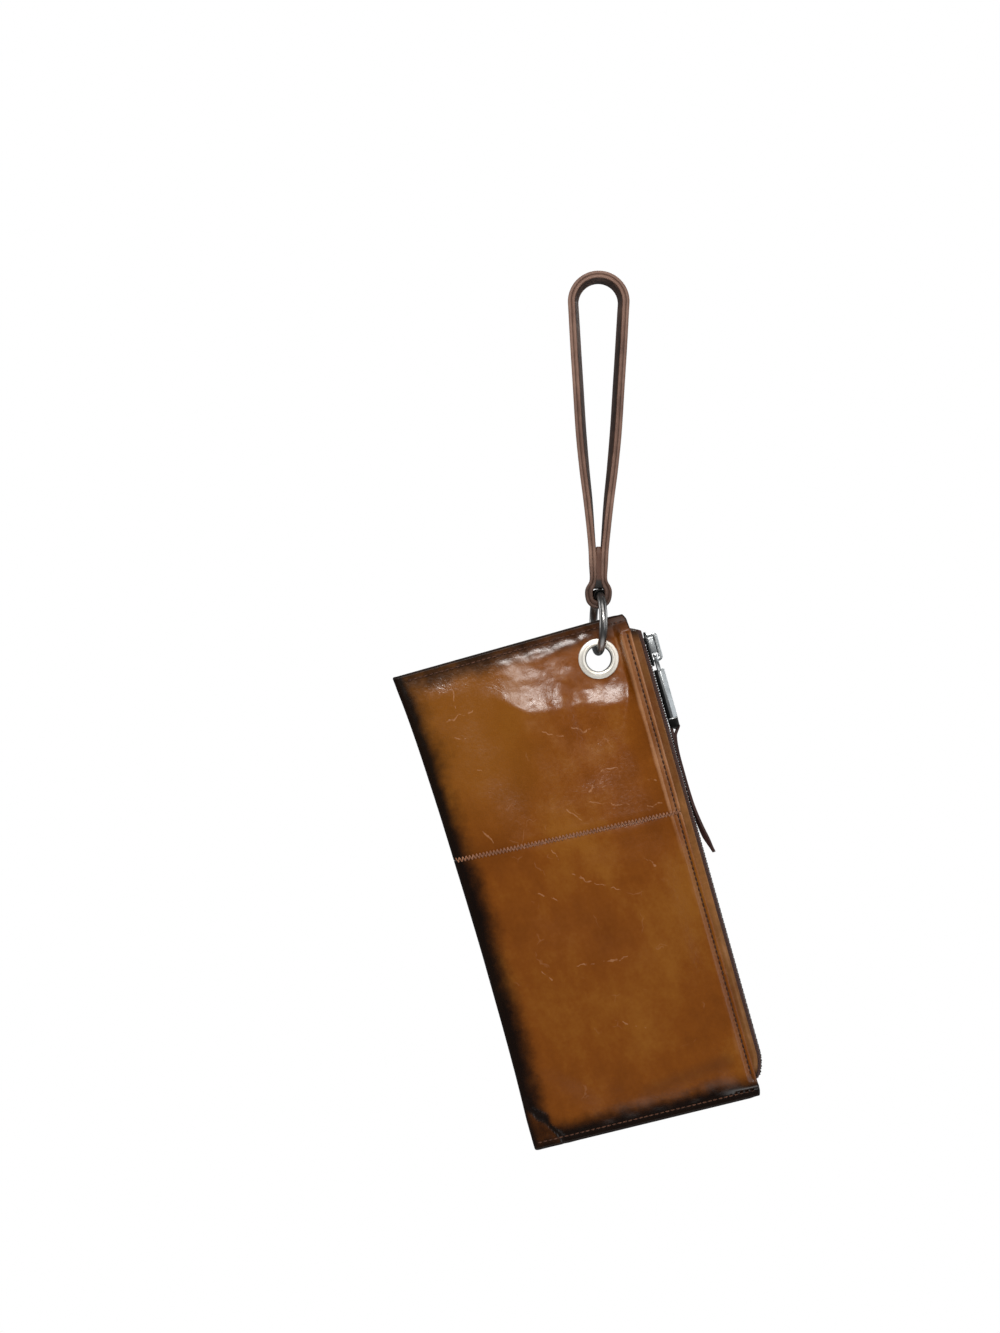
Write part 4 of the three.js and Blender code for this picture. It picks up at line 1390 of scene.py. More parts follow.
@dataclass
class Pouch:
    """The two leather wraps with their eyelet hole, and the sewing that holds them."""

    shop: Workshop
    leather: float = 1.5
    rim_paint: float = 0.8
    bore: float = 6.6
    fold_steps: int = 7
    stitch: float = 2.4
    stitch_share: float = 0.76
    stitch_arch: float = 0.52
    stitch_sunk: float = 0.22
    thread: float = 0.31
    skived: float = 0.5
    pared: float = 0.9
    zigzag_period: float = 1.55
    zigzag_half: float = 1.05
    zigzag_thread: float = 0.26
    hem_from: float = -83.5
    hem_long: float = 98.0
    zip_line: float = 14.9
    crowd: float = 0.45
    plain: float = 0.95
    crowd_rim: float = 9.0
    crowd_seam: float = 4.0

    def wall(self, levels: Array, side: Side) -> tuple[Array, dict[str, Array]]:
        """One wall of a wrap on a grid of levels by places from the fold to the zip edge.

        The first places turn a quarter round the fold, and the rest run across, closer together by the zip.

        Args:
            levels: Places down.
            side: The wall.

        Returns:
            The points, and the values they carry, both by level and place.
        """
        down = levels[:, None]
        bend = ENVELOPE.gap + ENVELOPE.wall
        fold = ENVELOPE.sections.read("fold", down)
        edge = ENVELOPE.sections.read("edge", down) - self.leather / 2
        turn = np.linspace(0, np.pi / 2, self.fold_steps)
        share = crowded((0, 0.91, 1), (0.0096, 0.0036))[1:]
        across = np.hstack([fold + bend * (1 - np.cos(turn)), fold + bend + (edge - fold - bend) * share])
        down = np.broadcast_to(down, across.shape)
        return ENVELOPE.outer(across, down, side), ENVELOPE.marks(across, down, side)

    def wrap(self, levels: Array) -> Skin:
        """A wrap between the first and last level: the front wall, round the fold, and the back wall.

        Args:
            levels: Places down.

        Returns:
            The closed skin in the pouch's frame, with the eyelet's hole where it reaches it.
        """
        front, front_marks = self.wall(levels, Side.FRONT)
        back, back_marks = self.wall(levels, Side.BACK)
        grid = np.concatenate([front[:, ::-1], back[:, 1:]], axis=1)
        rows, cols = grid.shape[:2]
        flat = {}
        for name, marks in front_marks.items():
            both = np.concatenate([marks[:, ::-1], back_marks[name][:, 1:]], axis=1)
            flat[name] = both.reshape(rows * cols, *both.shape[2:])
        sheet = self.pierced(Skin(grid.reshape(-1, 3), grid_faces(rows, cols), flat))
        normals = point_normals(sheet.points, sheet.faces)
        if (normals[:, 1] * sheet.points[:, 1]).sum() < 0:
            sheet.faces = sheet.faces[:, ::-1]
        across, down = sheet.values["spot"][:, 0], sheet.values["spot"][:, 1]
        thin = 1 - ease(np.abs(down - ENVELOPE.seam), 0.4, 3.5)
        by_seam = self.leather + (self.skived - self.leather) * thin
        by_zip = self.leather + (self.pared - self.leather) * (1 - ease(ENVELOPE.from_zip(across, down), 2, 5))
        return shell(sheet, np.minimum(by_seam, by_zip), border_rim=self.rim_paint)

    def pierced(self, sheet: Skin) -> Skin:
        """The sheet without the faces in the eyelet's bore, and with the border there drawn onto its circle.

        Args:
            sheet: A wrap's outer face.

        Returns:
            The sheet with its hole, or as it is where it lies off the bore.
        """
        off = np.hypot(sheet.points[:, 0], sheet.points[:, 2])
        gone = (off < self.bore)[sheet.faces].any(1)
        if not gone.any():
            return sheet
        lip = np.setdiff1d(np.unique(sheet.faces[gone]), np.flatnonzero(off < self.bore))
        sheet.points[lip] *= np.stack([self.bore / off[lip], np.ones(len(lip)), self.bore / off[lip]], -1)
        faces = sheet.faces[~gone]
        used, index = np.unique(faces, return_inverse=True)
        return Skin(sheet.points[used], index.reshape(-1, 4), {n: v[used] for n, v in sheet.values.items()})

    def stitch_row(self, start: tuple[float, float], way: tuple[int, int], long: float, side: Side) -> Skin:
        """A row of lock stitches along a line of the outer face, each an arch that dips in at both ends.

        Args:
            start: Where the row starts, across and down.
            way: How far it goes across and down for each millimetre.
            long: The row's length.
            side: The wall.

        Returns:
            The threads in the pouch's frame.
        """
        middles = np.arange(self.stitch / 2, long, self.stitch)[:, None]
        share = np.linspace(-0.5, 0.5, 8)
        at = middles + share * self.stitch * self.stitch_share
        lift = self.stitch_arch * np.sqrt(np.maximum(1 - (2 * share) ** 2, 0)) - self.stitch_sunk
        paths = ENVELOPE.outer(start[0] + way[0] * at, start[1] + way[1] * at, side, lift)
        return tubes(paths, self.thread * (0.72 + 0.28 * np.cos(share * np.pi)), side.value * DEPTH)

    def zigzag(self, side: Side) -> Skin:
        """The thread over the middle seam: a sharp wave across it that dips into a hole at every turn.

        Args:
            side: The wall.

        Returns:
            The threads in the pouch's frame.
        """
        seam = np.array(ENVELOPE.seam)
        start = float(ENVELOPE.sections.read("fold", seam)) + 1.2
        stop = float(ENVELOPE.sections.read("edge", seam)) - 1.0
        half = self.zigzag_period / 2
        legs = np.arange(int((stop - start) / half))
        share = np.linspace(0, 1, 7)
        across = start + (legs[:, None] + share) * half
        sign = np.where(legs % 2, -1, 1)[:, None]
        down = ENVELOPE.seam + self.zigzag_half * sign * (2 * share - 1)
        lift = -0.1 + 0.55 * np.sin(np.pi * share) ** 0.6
        paths = ENVELOPE.outer(across, down, side, lift)
        return tubes(paths, np.full(len(share), self.zigzag_thread), side.value * DEPTH)

    def build(self) -> None:
        """Makes both wraps and all their sewing."""
        rim, seam, length = self.leather / 2, ENVELOPE.seam, ENVELOPE.length
        off = self.skived / 2 + 0.05
        spacing = (self.crowd, self.plain, self.crowd)
        above, below = seam - off, seam + off
        upper = crowded((rim, self.crowd_rim, above - self.crowd_seam, above), spacing)
        lower = crowded((below, below + self.crowd_seam, length - self.crowd_rim, length - rim), spacing)
        for name, levels in (("body_upper", upper), ("body_lower", lower)):
            self.shop.hang(f"{name}_leather", self.wrap(levels), CARAMEL, "caramel_leather", (name,))
        hems = []
        zip_long = ENVELOPE.zip_to - ENVELOPE.zip_from - 2
        for side in Side:
            for down in (ENVELOPE.hem, length - ENVELOPE.hem):
                hems.append(self.stitch_row((self.hem_from, down), (1, 0), self.hem_long, side))
            row = self.stitch_row((self.zip_line, ENVELOPE.zip_from), (0, 1), zip_long, side)
            self.shop.hang(f"zip_row_{side.name.lower()}", row, DARK_THREAD, "dark_leather")
        self.shop.hang("hem_stitches", joined(hems), HEM_THREAD, "dark_leather")
        seams = joined([self.zigzag(side) for side in Side])
        self.shop.hang("seam_zigzag", seams, PINK_THREAD, "caramel_leather")


@dataclass
class ZipEdge:
    """Leather facings, woven tapes and the closed rows of teeth along the mouth."""

    shop: Workshop
    inner: float = 14.3
    facing_out: float = 20.1
    facing_face: float = 4.6
    facing_thick: float = 1.2
    tape_out: float = 21.5
    tape_face: float = 3.1
    tape_thick: float = 0.8
    top: float = 9.4
    low: float = -196.2
    top_slope: float = 0.5
    bend_from: float = -185.0
    bend_in: float = 3.4
    chain_in: float = 19.6
    chain_out: float = 21.9
    chain_top: float = 0.0
    tooth_pitch: float = 1.15
    tooth_reach: float = 2.0
    tooth_overlap: float = 0.7
    facing_bead: float = 0.12
    tape_bead: float = 0.25
    strip_rows: int = 206
    strip_cols: int = 14
    slope_from: float = 16.5
    uneven: float = 0.05

    def turned_in(self, height: Array) -> Array:
        """How far the lower end turns in toward the pouch: the square of the share of the way along it."""
        return self.bend_in * np.clip((self.bend_from - height) / (self.bend_from - self.low), 0, 1) ** 2

    def strip(self, out: float, face: float, thick: float, side: Side, bead: float) -> Skin:
        """A flat strip along the zip, its outer border swelling into a bead, with rounded rims.

        Its upper end slopes down outward, and its lower end turns in.

        Args:
            out: Where its outer border lies across.
            face: Depth of its outer face.
            thick: Its thickness.
            side: The wall it belongs to.
            bead: How far the outer border swells.

        Returns:
            The closed skin in the pouch's frame, with the values that leather reads.
        """
        rim, start = thick / 2, self.inner + thick / 2
        share = np.linspace(0, 1, self.strip_rows)[:, None]
        outer = out - self.turned_in(self.top + (self.low - self.top) * share)
        across = start + (outer - rim - start) * np.linspace(0, 1, self.strip_cols)
        first = self.top - rim - self.top_slope * np.maximum(across - self.slope_from, 0)
        height = first + (self.low + rim - first) * share
        from_edge = outer - across
        wave = self.uneven * (ripple(across * 0.3, height, 11, 31 + side.value) - 1)
        swell = bead * (bell(from_edge - 1.1, 0.7) - 1)
        points = places(across, side.value * (face + wave + swell), height).reshape(-1, 3)
        ends = np.minimum(first + rim - height, height - self.low)
        values = {
            "burnish": (4.5 + 1.3 * ends).ravel(),
            "stretch": ((0.25 + 0.3 * ease(-height, 95, 150)) * bell(from_edge - 1.5, 1.0)).ravel(),
            "paint": np.ones(across.size),
        }
        faces = grid_faces(*across.shape)
        if (point_normals(points, faces)[:, 1] * side.value).sum() < 0:
            faces = faces[:, ::-1]
        return shell(Skin(points, faces, values), thick)

    def teeth(self) -> Skin:
        """The interlocked teeth: rounded bars with scooped heads, in turn from the front and the back tape.

        Returns:
            The closed skins in the pouch's frame.
        """
        share = np.array([0, 0.08, 0.45, 0.75, 0.94, 1.0])
        size = np.array([0.8, 0.96, 1.0, 0.94, 0.97, 0.78])
        half_high, half_out = 0.53, (self.chain_out - self.chain_in) / 2
        outline = rounded(half_out, half_high, 0.3, 2)
        middle = (self.chain_in + self.chain_out) / 2
        count = int((self.chain_top - self.low) / self.tooth_pitch)
        rows = []
        for side in Side:
            depth = side.value * (self.tooth_reach - share * (self.tooth_reach + self.tooth_overlap))
            path = places(middle, depth, 0.0)
            one = sweep(path, ACROSS, UP, outline * size[:, None, None])
            start = 0.5 if side is Side.FRONT else 1.5
            heights = self.chain_top - self.tooth_pitch * np.arange(start, count, 2)
            rows.append(copies(one, places(-self.turned_in(heights), 0.0, heights)))
        return joined(rows)

    def build(self) -> None:
        """Makes the strips of both walls and the teeth."""
        for side in Side:
            word = side.name.lower()
            facing = self.strip(self.facing_out, self.facing_face, self.facing_thick, side, self.facing_bead)
            self.shop.hang(f"facing_{word}", facing, FACING, "caramel_leather", (f"zip_facing_{word}",))
            tape = self.strip(self.tape_out, self.tape_face, self.tape_thick, side, self.tape_bead)
            self.shop.hang(f"tape_{word}", tape, TAPE_CLOTH, "zip_cloth", (f"zip_tape_{word}",))
        self.shop.hang("zip_teeth", self.teeth(), TOOTH_METAL, "zip_metal", ("zip_chain",))


@dataclass
class Slider:
    """The slider: two plates on a post and the bridge that holds the pull."""

    shop: Workshop
    top: float = 5.8
    low: float = -9.7
    plate: float = 1.2
    upper_from: float = 21.9
    upper_half: float = 3.8
    under_from: float = 18.1
    under_half: float = 1.8
    bridge_low: float = -8.1
    bridge_top: float = 5.0
    bridge_out: float = 27.6
    bridge_bar: float = 1.9
    bridge_half: float = 1.0
    web_low: float = -4.2
    web_half: float = 0.6
    outline: Table = Table(
        ("share", "half"),
        (
            (0, 0.5),
            (0.03, 0.66),
            (0.09, 0.84),
            (0.16, 0.97),
            (0.3, 1),
            (0.5, 0.99),
            (0.75, 0.86),
            (0.94, 0.74),
            (0.985, 0.66),
            (1, 0.5),
        ),
    )
    post_height: float = 1.9

    def plate_skin(self, start: float, half: float) -> Skin:
        """A plate along the zip: a rounded bar whose half width follows the outline, thinner at both tips.

        Args:
            start: Where its inner face lies across.
            half: Its half width.

        Returns:
            The closed skin in the pouch's frame.
        """
        share = 0.5 - 0.5 * np.cos(np.linspace(0, np.pi, 28))
        wide = self.outline.read("half", share) * half
        thin = self.plate / 2 * (0.55 + 0.45 * np.sqrt(np.clip(np.sin(share * np.pi) * 4, 0, 1)))
        path = places(start + self.plate / 2, 0.0, self.top + (self.low - self.top) * share)
        outline = rounded(1, 1, 0.42, 4)
        profile = outline * np.stack([wide, thin], -1)[:, None]
        return sweep(path, DEPTH, ACROSS, profile)

    def bridge_skin(self) -> Skin:
        """The bridge: a rounded bar up from the plate, along the slider and back down, round its corners.

        Returns:
            The closed skin in the pouch's frame.
        """
        near, far = self.upper_from + self.plate / 2, self.bridge_out - self.bridge_bar / 2
        low, top = self.bridge_low + self.bridge_bar / 2, self.bridge_top - self.bridge_bar / 2
        turn = np.linspace(0, np.pi / 2, 9)
        radius = 1.3
        corner_low = np.stack([far - radius + radius * np.sin(turn), low + radius - radius * np.cos(turn)], -1)
        corner_top = np.stack([far - radius + radius * np.cos(turn), top - radius + radius * np.sin(turn)], -1)
        foot = near + 0.8
        line = np.vstack([[(near, low), (foot, low)], corner_low, corner_top, [(foot, top), (near, top)]])
        path = places(line[:, 0], 0.0, line[:, 1])
        run = unit(np.gradient(path, axis=0))
        return sweep(path, DEPTH, np.cross(run, DEPTH), rounded(self.bridge_half, self.bridge_bar / 2, 0.5, 3))

    def web_skin(self) -> Skin:
        """The cap that closes the bridge above the pin: a rounded plate, a little thicker in its middle.

        Returns:
            The closed skin in the pouch's frame.
        """
        near, far = self.upper_from + self.plate - 0.1, self.bridge_out - self.bridge_bar + 0.1
        height = np.linspace(self.bridge_top - self.bridge_bar + 0.2, self.web_low, 12)
        path = places((near + far) / 2, 0.0, height)
        swell = 0.75 + 0.25 * np.sin(np.linspace(0, np.pi, 12))
        profile = rounded((far - near) / 2, self.web_half, 0.3, 3) * np.stack([np.ones(12), swell], -1)[:, None]
        return sweep(path, ACROSS, DEPTH, profile)

    def build(self) -> None:
        """Makes the slider."""
        ends = self.plate / 2 + np.array([self.under_from, self.upper_from])
        post = sweep(places(ends, 0.0, self.post_height), DEPTH, UP, rounded(1.1, 1.5, 0.5, 3))
        upper = self.plate_skin(self.upper_from, self.upper_half)
        # Painted shade over the whole upper plate
        upper.values["soot"] = np.full(len(upper.points), 0.9)
        parts = [
            upper,
            self.plate_skin(self.under_from, self.under_half),
            self.bridge_skin(),
            self.web_skin(),
            post,
        ]
        self.shop.hang("slider_metal", joined(parts), SLIDER_NICKEL, "bright_nickel", ("zip_slider",))


@dataclass
class PullTab:
    """The pull on its pin, and the leather strip through its end."""

    shop: Workshop
    pin_across: float = 24.35
    pin_height: float = -5.35
    pin_radius: float = 0.8
    eye_half: float = 2.7
    arm: float = 1.2
    bar_in: float = 22.0
    bar_out: float = 26.6
    bar_half: float = 2.5
    bar_top: float = -11.55
    bar_low: float = -38.85
    slot_half: float = 1.8
    slot_long: float = 3.0
    end_bar: float = 1.7
    strip_half: float = 1.5
    leather: float = 1.0
    strip: Table = Table(
        ("down", "out", "half", "twist"),
        (
            (0, -1.1, 1.2, 0),
            (3, -1.5, 0.86, 0),
            (11.6, -1.82, 0.6, 0),
            (21, -1.82, 0.58, 0),
            (30, -1.76, 0.58, 6),
            (36, -1.5, 0.58, 17),
            (41, -1.05, 0.58, 30),
            (46, -0.3, 0.56, 42),
            (50, 0.6, 0.54, 50),
            (54.6, 1.7, 0.5, 55),
        ),
    )

    def upright(self, heights: Array, centre: tuple[float, float], profile: Array) -> Skin:
        """A bar along the pull's length: the profile, across by depth, at each height."""
        return sweep(places(*centre, heights), ACROSS, DEPTH, profile)

    def metal(self) -> Skin:
        """The pull: a pin between two arms, a bar with a ridge down each side, and a framed slot at its end.

        Returns:
            The closed skins in the pouch's frame, with the value "soot" of painted shade.
        """
        middle, half = (self.bar_in + self.bar_out) / 2, (self.bar_out - self.bar_in) / 2
        slot_low = self.bar_low + self.end_bar
        slot_top = slot_low + self.slot_long
        front = np.array([
            (1, 0.2), (1, 0.6), (0.97, 0.68), (0.9, 0.72), (0.84, 0.735),
            (0.22, 0.872), (0.16, 0.885), (0.1, 0.885), (0.04, 0.875), (-0.26, 0.798),
            (-0.36, 0.7725), (-0.88, 0.64), (-0.96, 0.57), (-1, 0.48), (-1, 0.2),
        ])
        ridge = np.vstack([front, front[::-1] * np.array([1, -1])]) * np.array([half, self.bar_half])
        heights = np.hstack([self.bar_top - np.array([0, 0.15, 0.6]), slot_top + np.array([0.6, 0.12, 0])])
        ends = np.array([0.8, 0.93, 1, 1, 0.95, 0.84])
        bar = self.upright(heights, (middle, 0), ridge * ends[:, None, None])
        rail = (self.bar_half - self.slot_half) / 2
        rails = [
            self.upright(
                np.array([slot_top + 0.5, slot_top - 0.1, slot_low - 0.2, self.bar_low + 0.35]),
                (middle, side.value * (self.bar_half - rail)),
                rounded(half * 0.95, rail, 0.3, 2) * np.array([[[1, 1]], [[1, 1]], [[0.95, 1]], [[0.5, 0.95]]]),
            )
            for side in Side
        ]
        depth = np.linspace(-self.bar_half + 0.1, self.bar_half - 0.1, 8)
        bottom = places(middle, depth, self.bar_low + self.end_bar / 2)
        end = sweep(bottom, ACROSS, UP, rounded(self.pin_radius, self.end_bar / 2, 0.6, 3))
        pin_depth = np.array([-self.eye_half, -self.eye_half + 0.12, 0, self.eye_half - 0.12, self.eye_half])
        pin_path = places(self.pin_across, pin_depth, self.pin_height)
        pin_ends = np.array([0.82, 1, 1, 1, 0.82])[:, None, None]
        round_pin = rounded(self.pin_radius, self.pin_radius, self.pin_radius - 0.001, 4)
        pin = sweep(pin_path, ACROSS, UP, round_pin * pin_ends)
        arms = [
            self.upright(
                np.array([self.pin_height + 0.75, self.pin_height + 0.5, self.pin_height, self.bar_top - 0.8]),
                (self.pin_across, side.value * (self.eye_half - self.arm / 2)),
                rounded(self.pin_radius, self.arm / 2, 0.35, 3) * np.array([0.5, 0.8, 1, 1])[:, None, None],
            )
            for side in Side
        ]
        skin = joined([bar, *rails, end, pin, *arms])
        across, height = skin.points[:, 0], skin.points[:, 2]
        # Painted shade: the slot's frame and end bar, and the bar's side toward the zip
        shaded_slot_end = 1 - ease(height, slot_top, slot_top + 0.5)
        shaded_zip_facet = ease(middle - 0.26 * half - across, 0, 0.1 * half) * (height < self.bar_top)
        skin.values["soot"] = 0.96 * np.maximum(shaded_slot_end, 0.94 * shaded_zip_facet)
        return skin

    def leather_strip(self) -> Skin:
        """The strip: one band up its inner layer, round the end bar and down the outer one, curling out.

        Returns:
            The closed skin in the pouch's frame.
        """
        middle = (self.bar_in + self.bar_out) / 2
        crown = self.pin_radius + ENVELOPE.gap + self.leather / 2
        top = self.bar_low + self.end_bar + ENVELOPE.gap + self.leather * 0.4
        start = self.bar_low - crown - self.leather / 2
        long = self.strip.rows[-1][0]
        below = np.linspace(0, long, 30)
        twist, half = np.radians(self.strip.read("twist", below)), self.strip.read("half", below)
        centre = places(middle + self.strip.read("out", below), 0.0, start - below)
        apart = places(np.cos(twist), np.sin(twist), 0.0) * half[:, None] / 2
        turn = np.linspace(np.pi, 0, 9)
        bend = places(middle + crown * np.cos(turn), 0.0, top - crown + crown * np.sin(turn) * 0.75)
        path = flowing(np.vstack([(centre - apart)[::-1], bend, centre + apart]), 3, False)
        run = unit(np.gradient(path, axis=0))
        at = np.clip(start - path[:, 2], 0, long)
        lean = np.radians(self.strip.read("twist", at))
        across = places(-np.sin(lean), np.cos(lean), 0.0)
        wide = self.strip_half * (1 - 0.6 * ease(at / long, 0.84, 1))
        outline = rounded(1, 1, 0.3, 3)
        profile = outline * np.stack([wide, 0.53 * self.strip.read("half", at)], -1)[:, None]
        skin = sweep(path, across, unit(np.cross(run, across)), profile)
        skin.values["burnish"] = np.full(len(skin.points), 30.0)
        skin.values["rim"] = np.tile(0.3 * (np.abs(outline[:, 0]) > 0.86), len(path))
        return skin

    def build(self) -> None:
        """Makes the pull and its strip."""
        self.shop.hang("pull_metal", self.metal(), SLIDER_NICKEL, "bright_nickel", ("zip_pull",), Body.PULL)
        self.shop.hang("pull_leather", self.leather_strip(), STRIP, "dark_leather", ("pull_strip",), Body.PULL)


@dataclass
class EyeletAndRing:
    """The eyelet through both walls, and the ring that joins it to the strap."""

    shop: Workshop
    hole: float = 5.5
    barrel: float = 6.3
    flange: float = 8.9
    seat: float = 2.2
    face: float = 3.2
    eyelet_steps: int = 96
    ring_radius: float = 12.7
    wire: float = 1.8
    ring_drop: float = 150.4
    ring_turn: float = 8.0

    def eyelet(self) -> Skin:
        """The eyelet: a spool's outline turned about Y, domed on its flanges and rolled into its hole.

        Returns:
            The closed skin in the pouch's frame, with the value "soot" of painted shade in its bore.
        """
        turn = np.linspace(0, np.pi / 2, 6)
        edge = np.stack([self.flange - 0.5 + 0.5 * np.cos(turn), self.seat + 0.45 * np.sin(turn)], -1)
        dome = np.array([
            (self.flange - 1.1, self.seat + 0.66),
            (self.flange - 1.8, self.face - 0.12),
            (7.0, self.face),
            (6.45, self.face - 0.05),
        ])
        roll = np.stack([self.hole + 0.9 - 0.9 * np.sin(turn), self.face - 1.0 + 0.9 * np.cos(turn)], -1)
        half = np.vstack([[(self.barrel, 0)], [(self.barrel, self.seat)], edge, dome, roll, [(self.hole, 0.6)]])
        outline = np.vstack([half, half[::-1][:-1] * np.array([1, -1])])
        around = 2 * np.pi * np.arange(self.eyelet_steps) / self.eyelet_steps
        radius, depth = outline[:, 0], outline[:, 1]
        points = places(np.cos(around)[:, None] * radius, depth, np.sin(around)[:, None] * radius)
        faces = grid_faces(len(around), len(outline), wrap_rows=True, wrap_cols=True)
        skin = Skin(points.reshape(-1, 3), faces).outward()
        # Painted shade inside the bore
        skin.values["soot"] = np.tile(0.96 * (1 - ease(radius, self.hole + 0.1, self.hole + 0.75)), len(around))
        return skin

    def ring(self) -> Skin:
        """The ring: a circle of wire carried round a circle in a plane that is turned a little about Z."""
        path, out, side = self.circle(2 * np.pi * np.arange(128) / 128)
        return sweep(path, side, out, rounded(self.wire, self.wire, self.wire - 0.001, 6), closed=True)

    def circle(self, around: Array) -> tuple[Array, Array, Array]:
        """Places round the ring's middle line, the ways out from its centre and the way across its plane.

        Args:
            around: Angles round the ring.

        Returns:
            The places, the ways out and the way across.
        """
        lean = np.radians(self.ring_turn)
        flat = np.array([-np.sin(lean), np.cos(lean), 0])
        out = np.cos(around)[:, None] * flat + np.sin(around)[:, None] * UP
        path = out * self.ring_radius - self.ring_drop * UP
        return path, out, np.array([np.cos(lean), np.sin(lean), 0])

    def build(self) -> None:
        """Makes the eyelet and the ring."""
        self.shop.hang("eyelet_metal", self.eyelet(), EYELET_NICKEL, "bright_nickel", ("eyelet",))
        self.shop.make("ring_metal", self.ring(), RING_NICKEL, Body.STRAP, "dark_nickel", ("strap_ring",))


@dataclass
class WristStrap:
    """The wrist strap: a loop of two leathers, pinched to a neck above the eye that holds the ring."""

    shop: Workshop
    width: float = 9.5
    thick: float = 3.2
    eye_thick: float = 2.6
    eye_snug: float = 0.45
    sleeve_half: float = 4.2
    sleeve_thick: float = 0.9
    sleeve_gap: float = 0.15
    sleeve_steps: int = 40
    peg: float = 9.5
    neck_top: float = 117.0
    neck_low: float = 135.4
    neck_half: float = 1.35
    legs: Table = Table(
        ("down", "spread", "twist"),
        (
            (9.5, 11.1, 12),
            (30.4, 9.9, 13),
            (48, 8.8, 13),
            (65.6, 7.7, 13),
            (83.2, 6.1, 11),
            (96.4, 4.6, 8),
            (109.6, 3.4, 4),
            (120.6, 2.6, 1),
            (131.5, 2.3, 0),
        ),
    )
    eye: Line = ((2.75, 132.8), (4.2, 135.4), (4.5, 137.6), (3.9, 140.6), (2.2, 142.3), (0, 142.8))

    def loop(self) -> tuple[Array, Array]:
        """The band's middle line, clockwise in the front view from the top of the loop.

        Returns:
            Points as across and down, and each point's twist in degrees.
        """
        turn = np.linspace(np.pi / 2, 0, 14)[:-1]
        radius = self.legs.rows[0][1]
        over = np.stack([radius * np.cos(turn), self.peg - radius * np.sin(turn)], -1)
        level = np.linspace(self.peg, 130.2, 36)
        right = np.stack([self.legs.read("spread", level), level], -1)
        half = np.vstack([over, right, self.eye])
        line = flowing(np.vstack([half, (half * np.array([-1, 1]))[::-1][1:-1]]), 3, True)
        twist = self.legs.read("twist", np.clip(line[:, 1], self.peg, 131))
        return line, twist

    def band_profile(self) -> tuple[Array, Array, Array]:
        """Outline of two leathers face to face, with rounded edges and a fine notch between them.

        Returns:
            The outline as width by thickness, and each point's share of rim and of notch.
        """
        a, b, r = self.width / 2, self.thick / 2, 0.5
        turn = np.linspace(0, np.pi / 2, 4)
        layer = np.stack([a - r + r * np.cos(turn), b - r + r * np.sin(turn)], -1)
        face = np.array([(a * 0.6, b + 0.05), (0.01, b + 0.08)])
        quarter = np.vstack([[(a - 0.42, 0.04)], [(a - 0.06, 0.26)], layer, face])
        right = np.vstack([quarter[::-1] * np.array([1, -1]), quarter])
        outline = np.vstack([right, -right])
        rim = (np.abs(outline[:, 0]) > a - 0.7 * r).astype(float)
        notch = (np.abs(outline[:, 1]) < 0.1).astype(float)
        return outline, rim, notch

    def band(self) -> Skin:
        """The band carried round the loop, its back edge leaning in by the twist, thinner round the eye.

        Returns:
            The closed skin in the row frame, with the values that leather reads.
        """
        line, twist = self.loop()
        path = places(line[:, 0], 0.0, -line[:, 1])
        run = unit(np.roll(path, -1, 0) - np.roll(path, 1, 0))
        outward = places(-run[:, 2], 0.0, run[:, 0])
        lean = np.radians(twist)[:, None]
        back = DEPTH * np.cos(lean) - outward * np.sin(lean)
        face = outward * np.cos(lean) + DEPTH * np.sin(lean)
        outline, rim, notch = self.band_profile()
        thin = 1 + (self.eye_thick / self.thick - 1) * ease(line[:, 1], 122, 134)
        profile = outline * np.stack([np.ones(len(line)), thin], -1)[:, None]
        within = outline[:, 1] < -0.1
        snug = 1 + self.eye_snug * ease(line[:, 1], 131, 135)
        profile[:, within, 1] *= snug[:, None]
        skin = sweep(path, back, face, profile, closed=True)
        many = len(line)
        # Painted shade on the band's inner faces; the rest darkens toward the neck
        dark = within & (np.abs(outline[:, 0]) < self.width / 2 - 0.45)
        plain = 30 - 19.5 * ease(line[:, 1], 104, 124)
        skin.values["burnish"] = np.where(dark, 8.0, plain[:, None]).ravel()
        # Painted shade in the notch between the two leathers
        skin.values["groove"] = np.tile(notch, many)
        skin.values["stretch"] = np.tile(0.4 * rim, many)
        return skin

    def filler(self) -> Skin:
        """The strap's end between the legs at the neck: a flat tongue, worn round above, that flares below.

        Returns:
            The closed skin in the row frame.
        """
        level = np.linspace(self.neck_top, self.neck_low, 34)
        path = places(0.0, 0.0, -level)
        worn = ease(level, self.neck_top, self.neck_top + 2.5)
        flare = 0.7 + 0.3 * worn + 0.95 * ease(level, 130.5, 134) - 0.5 * ease(level, 134, self.neck_low)
        size = np.stack([flare, 0.9 + 0.1 * ease(level, self.neck_top, self.neck_top + 3)], -1)
        profile = rounded(self.neck_half, self.width / 2 - 0.35, 0.5, 3) * size[:, None]
        skin = sweep(path, ACROSS, DEPTH, profile)
        # Darker at its lower end inside the eye, as painted shade
        skin.values["burnish"] = np.repeat(30 - 25.5 * ease(level, 128, 133), profile.shape[1])
        return skin

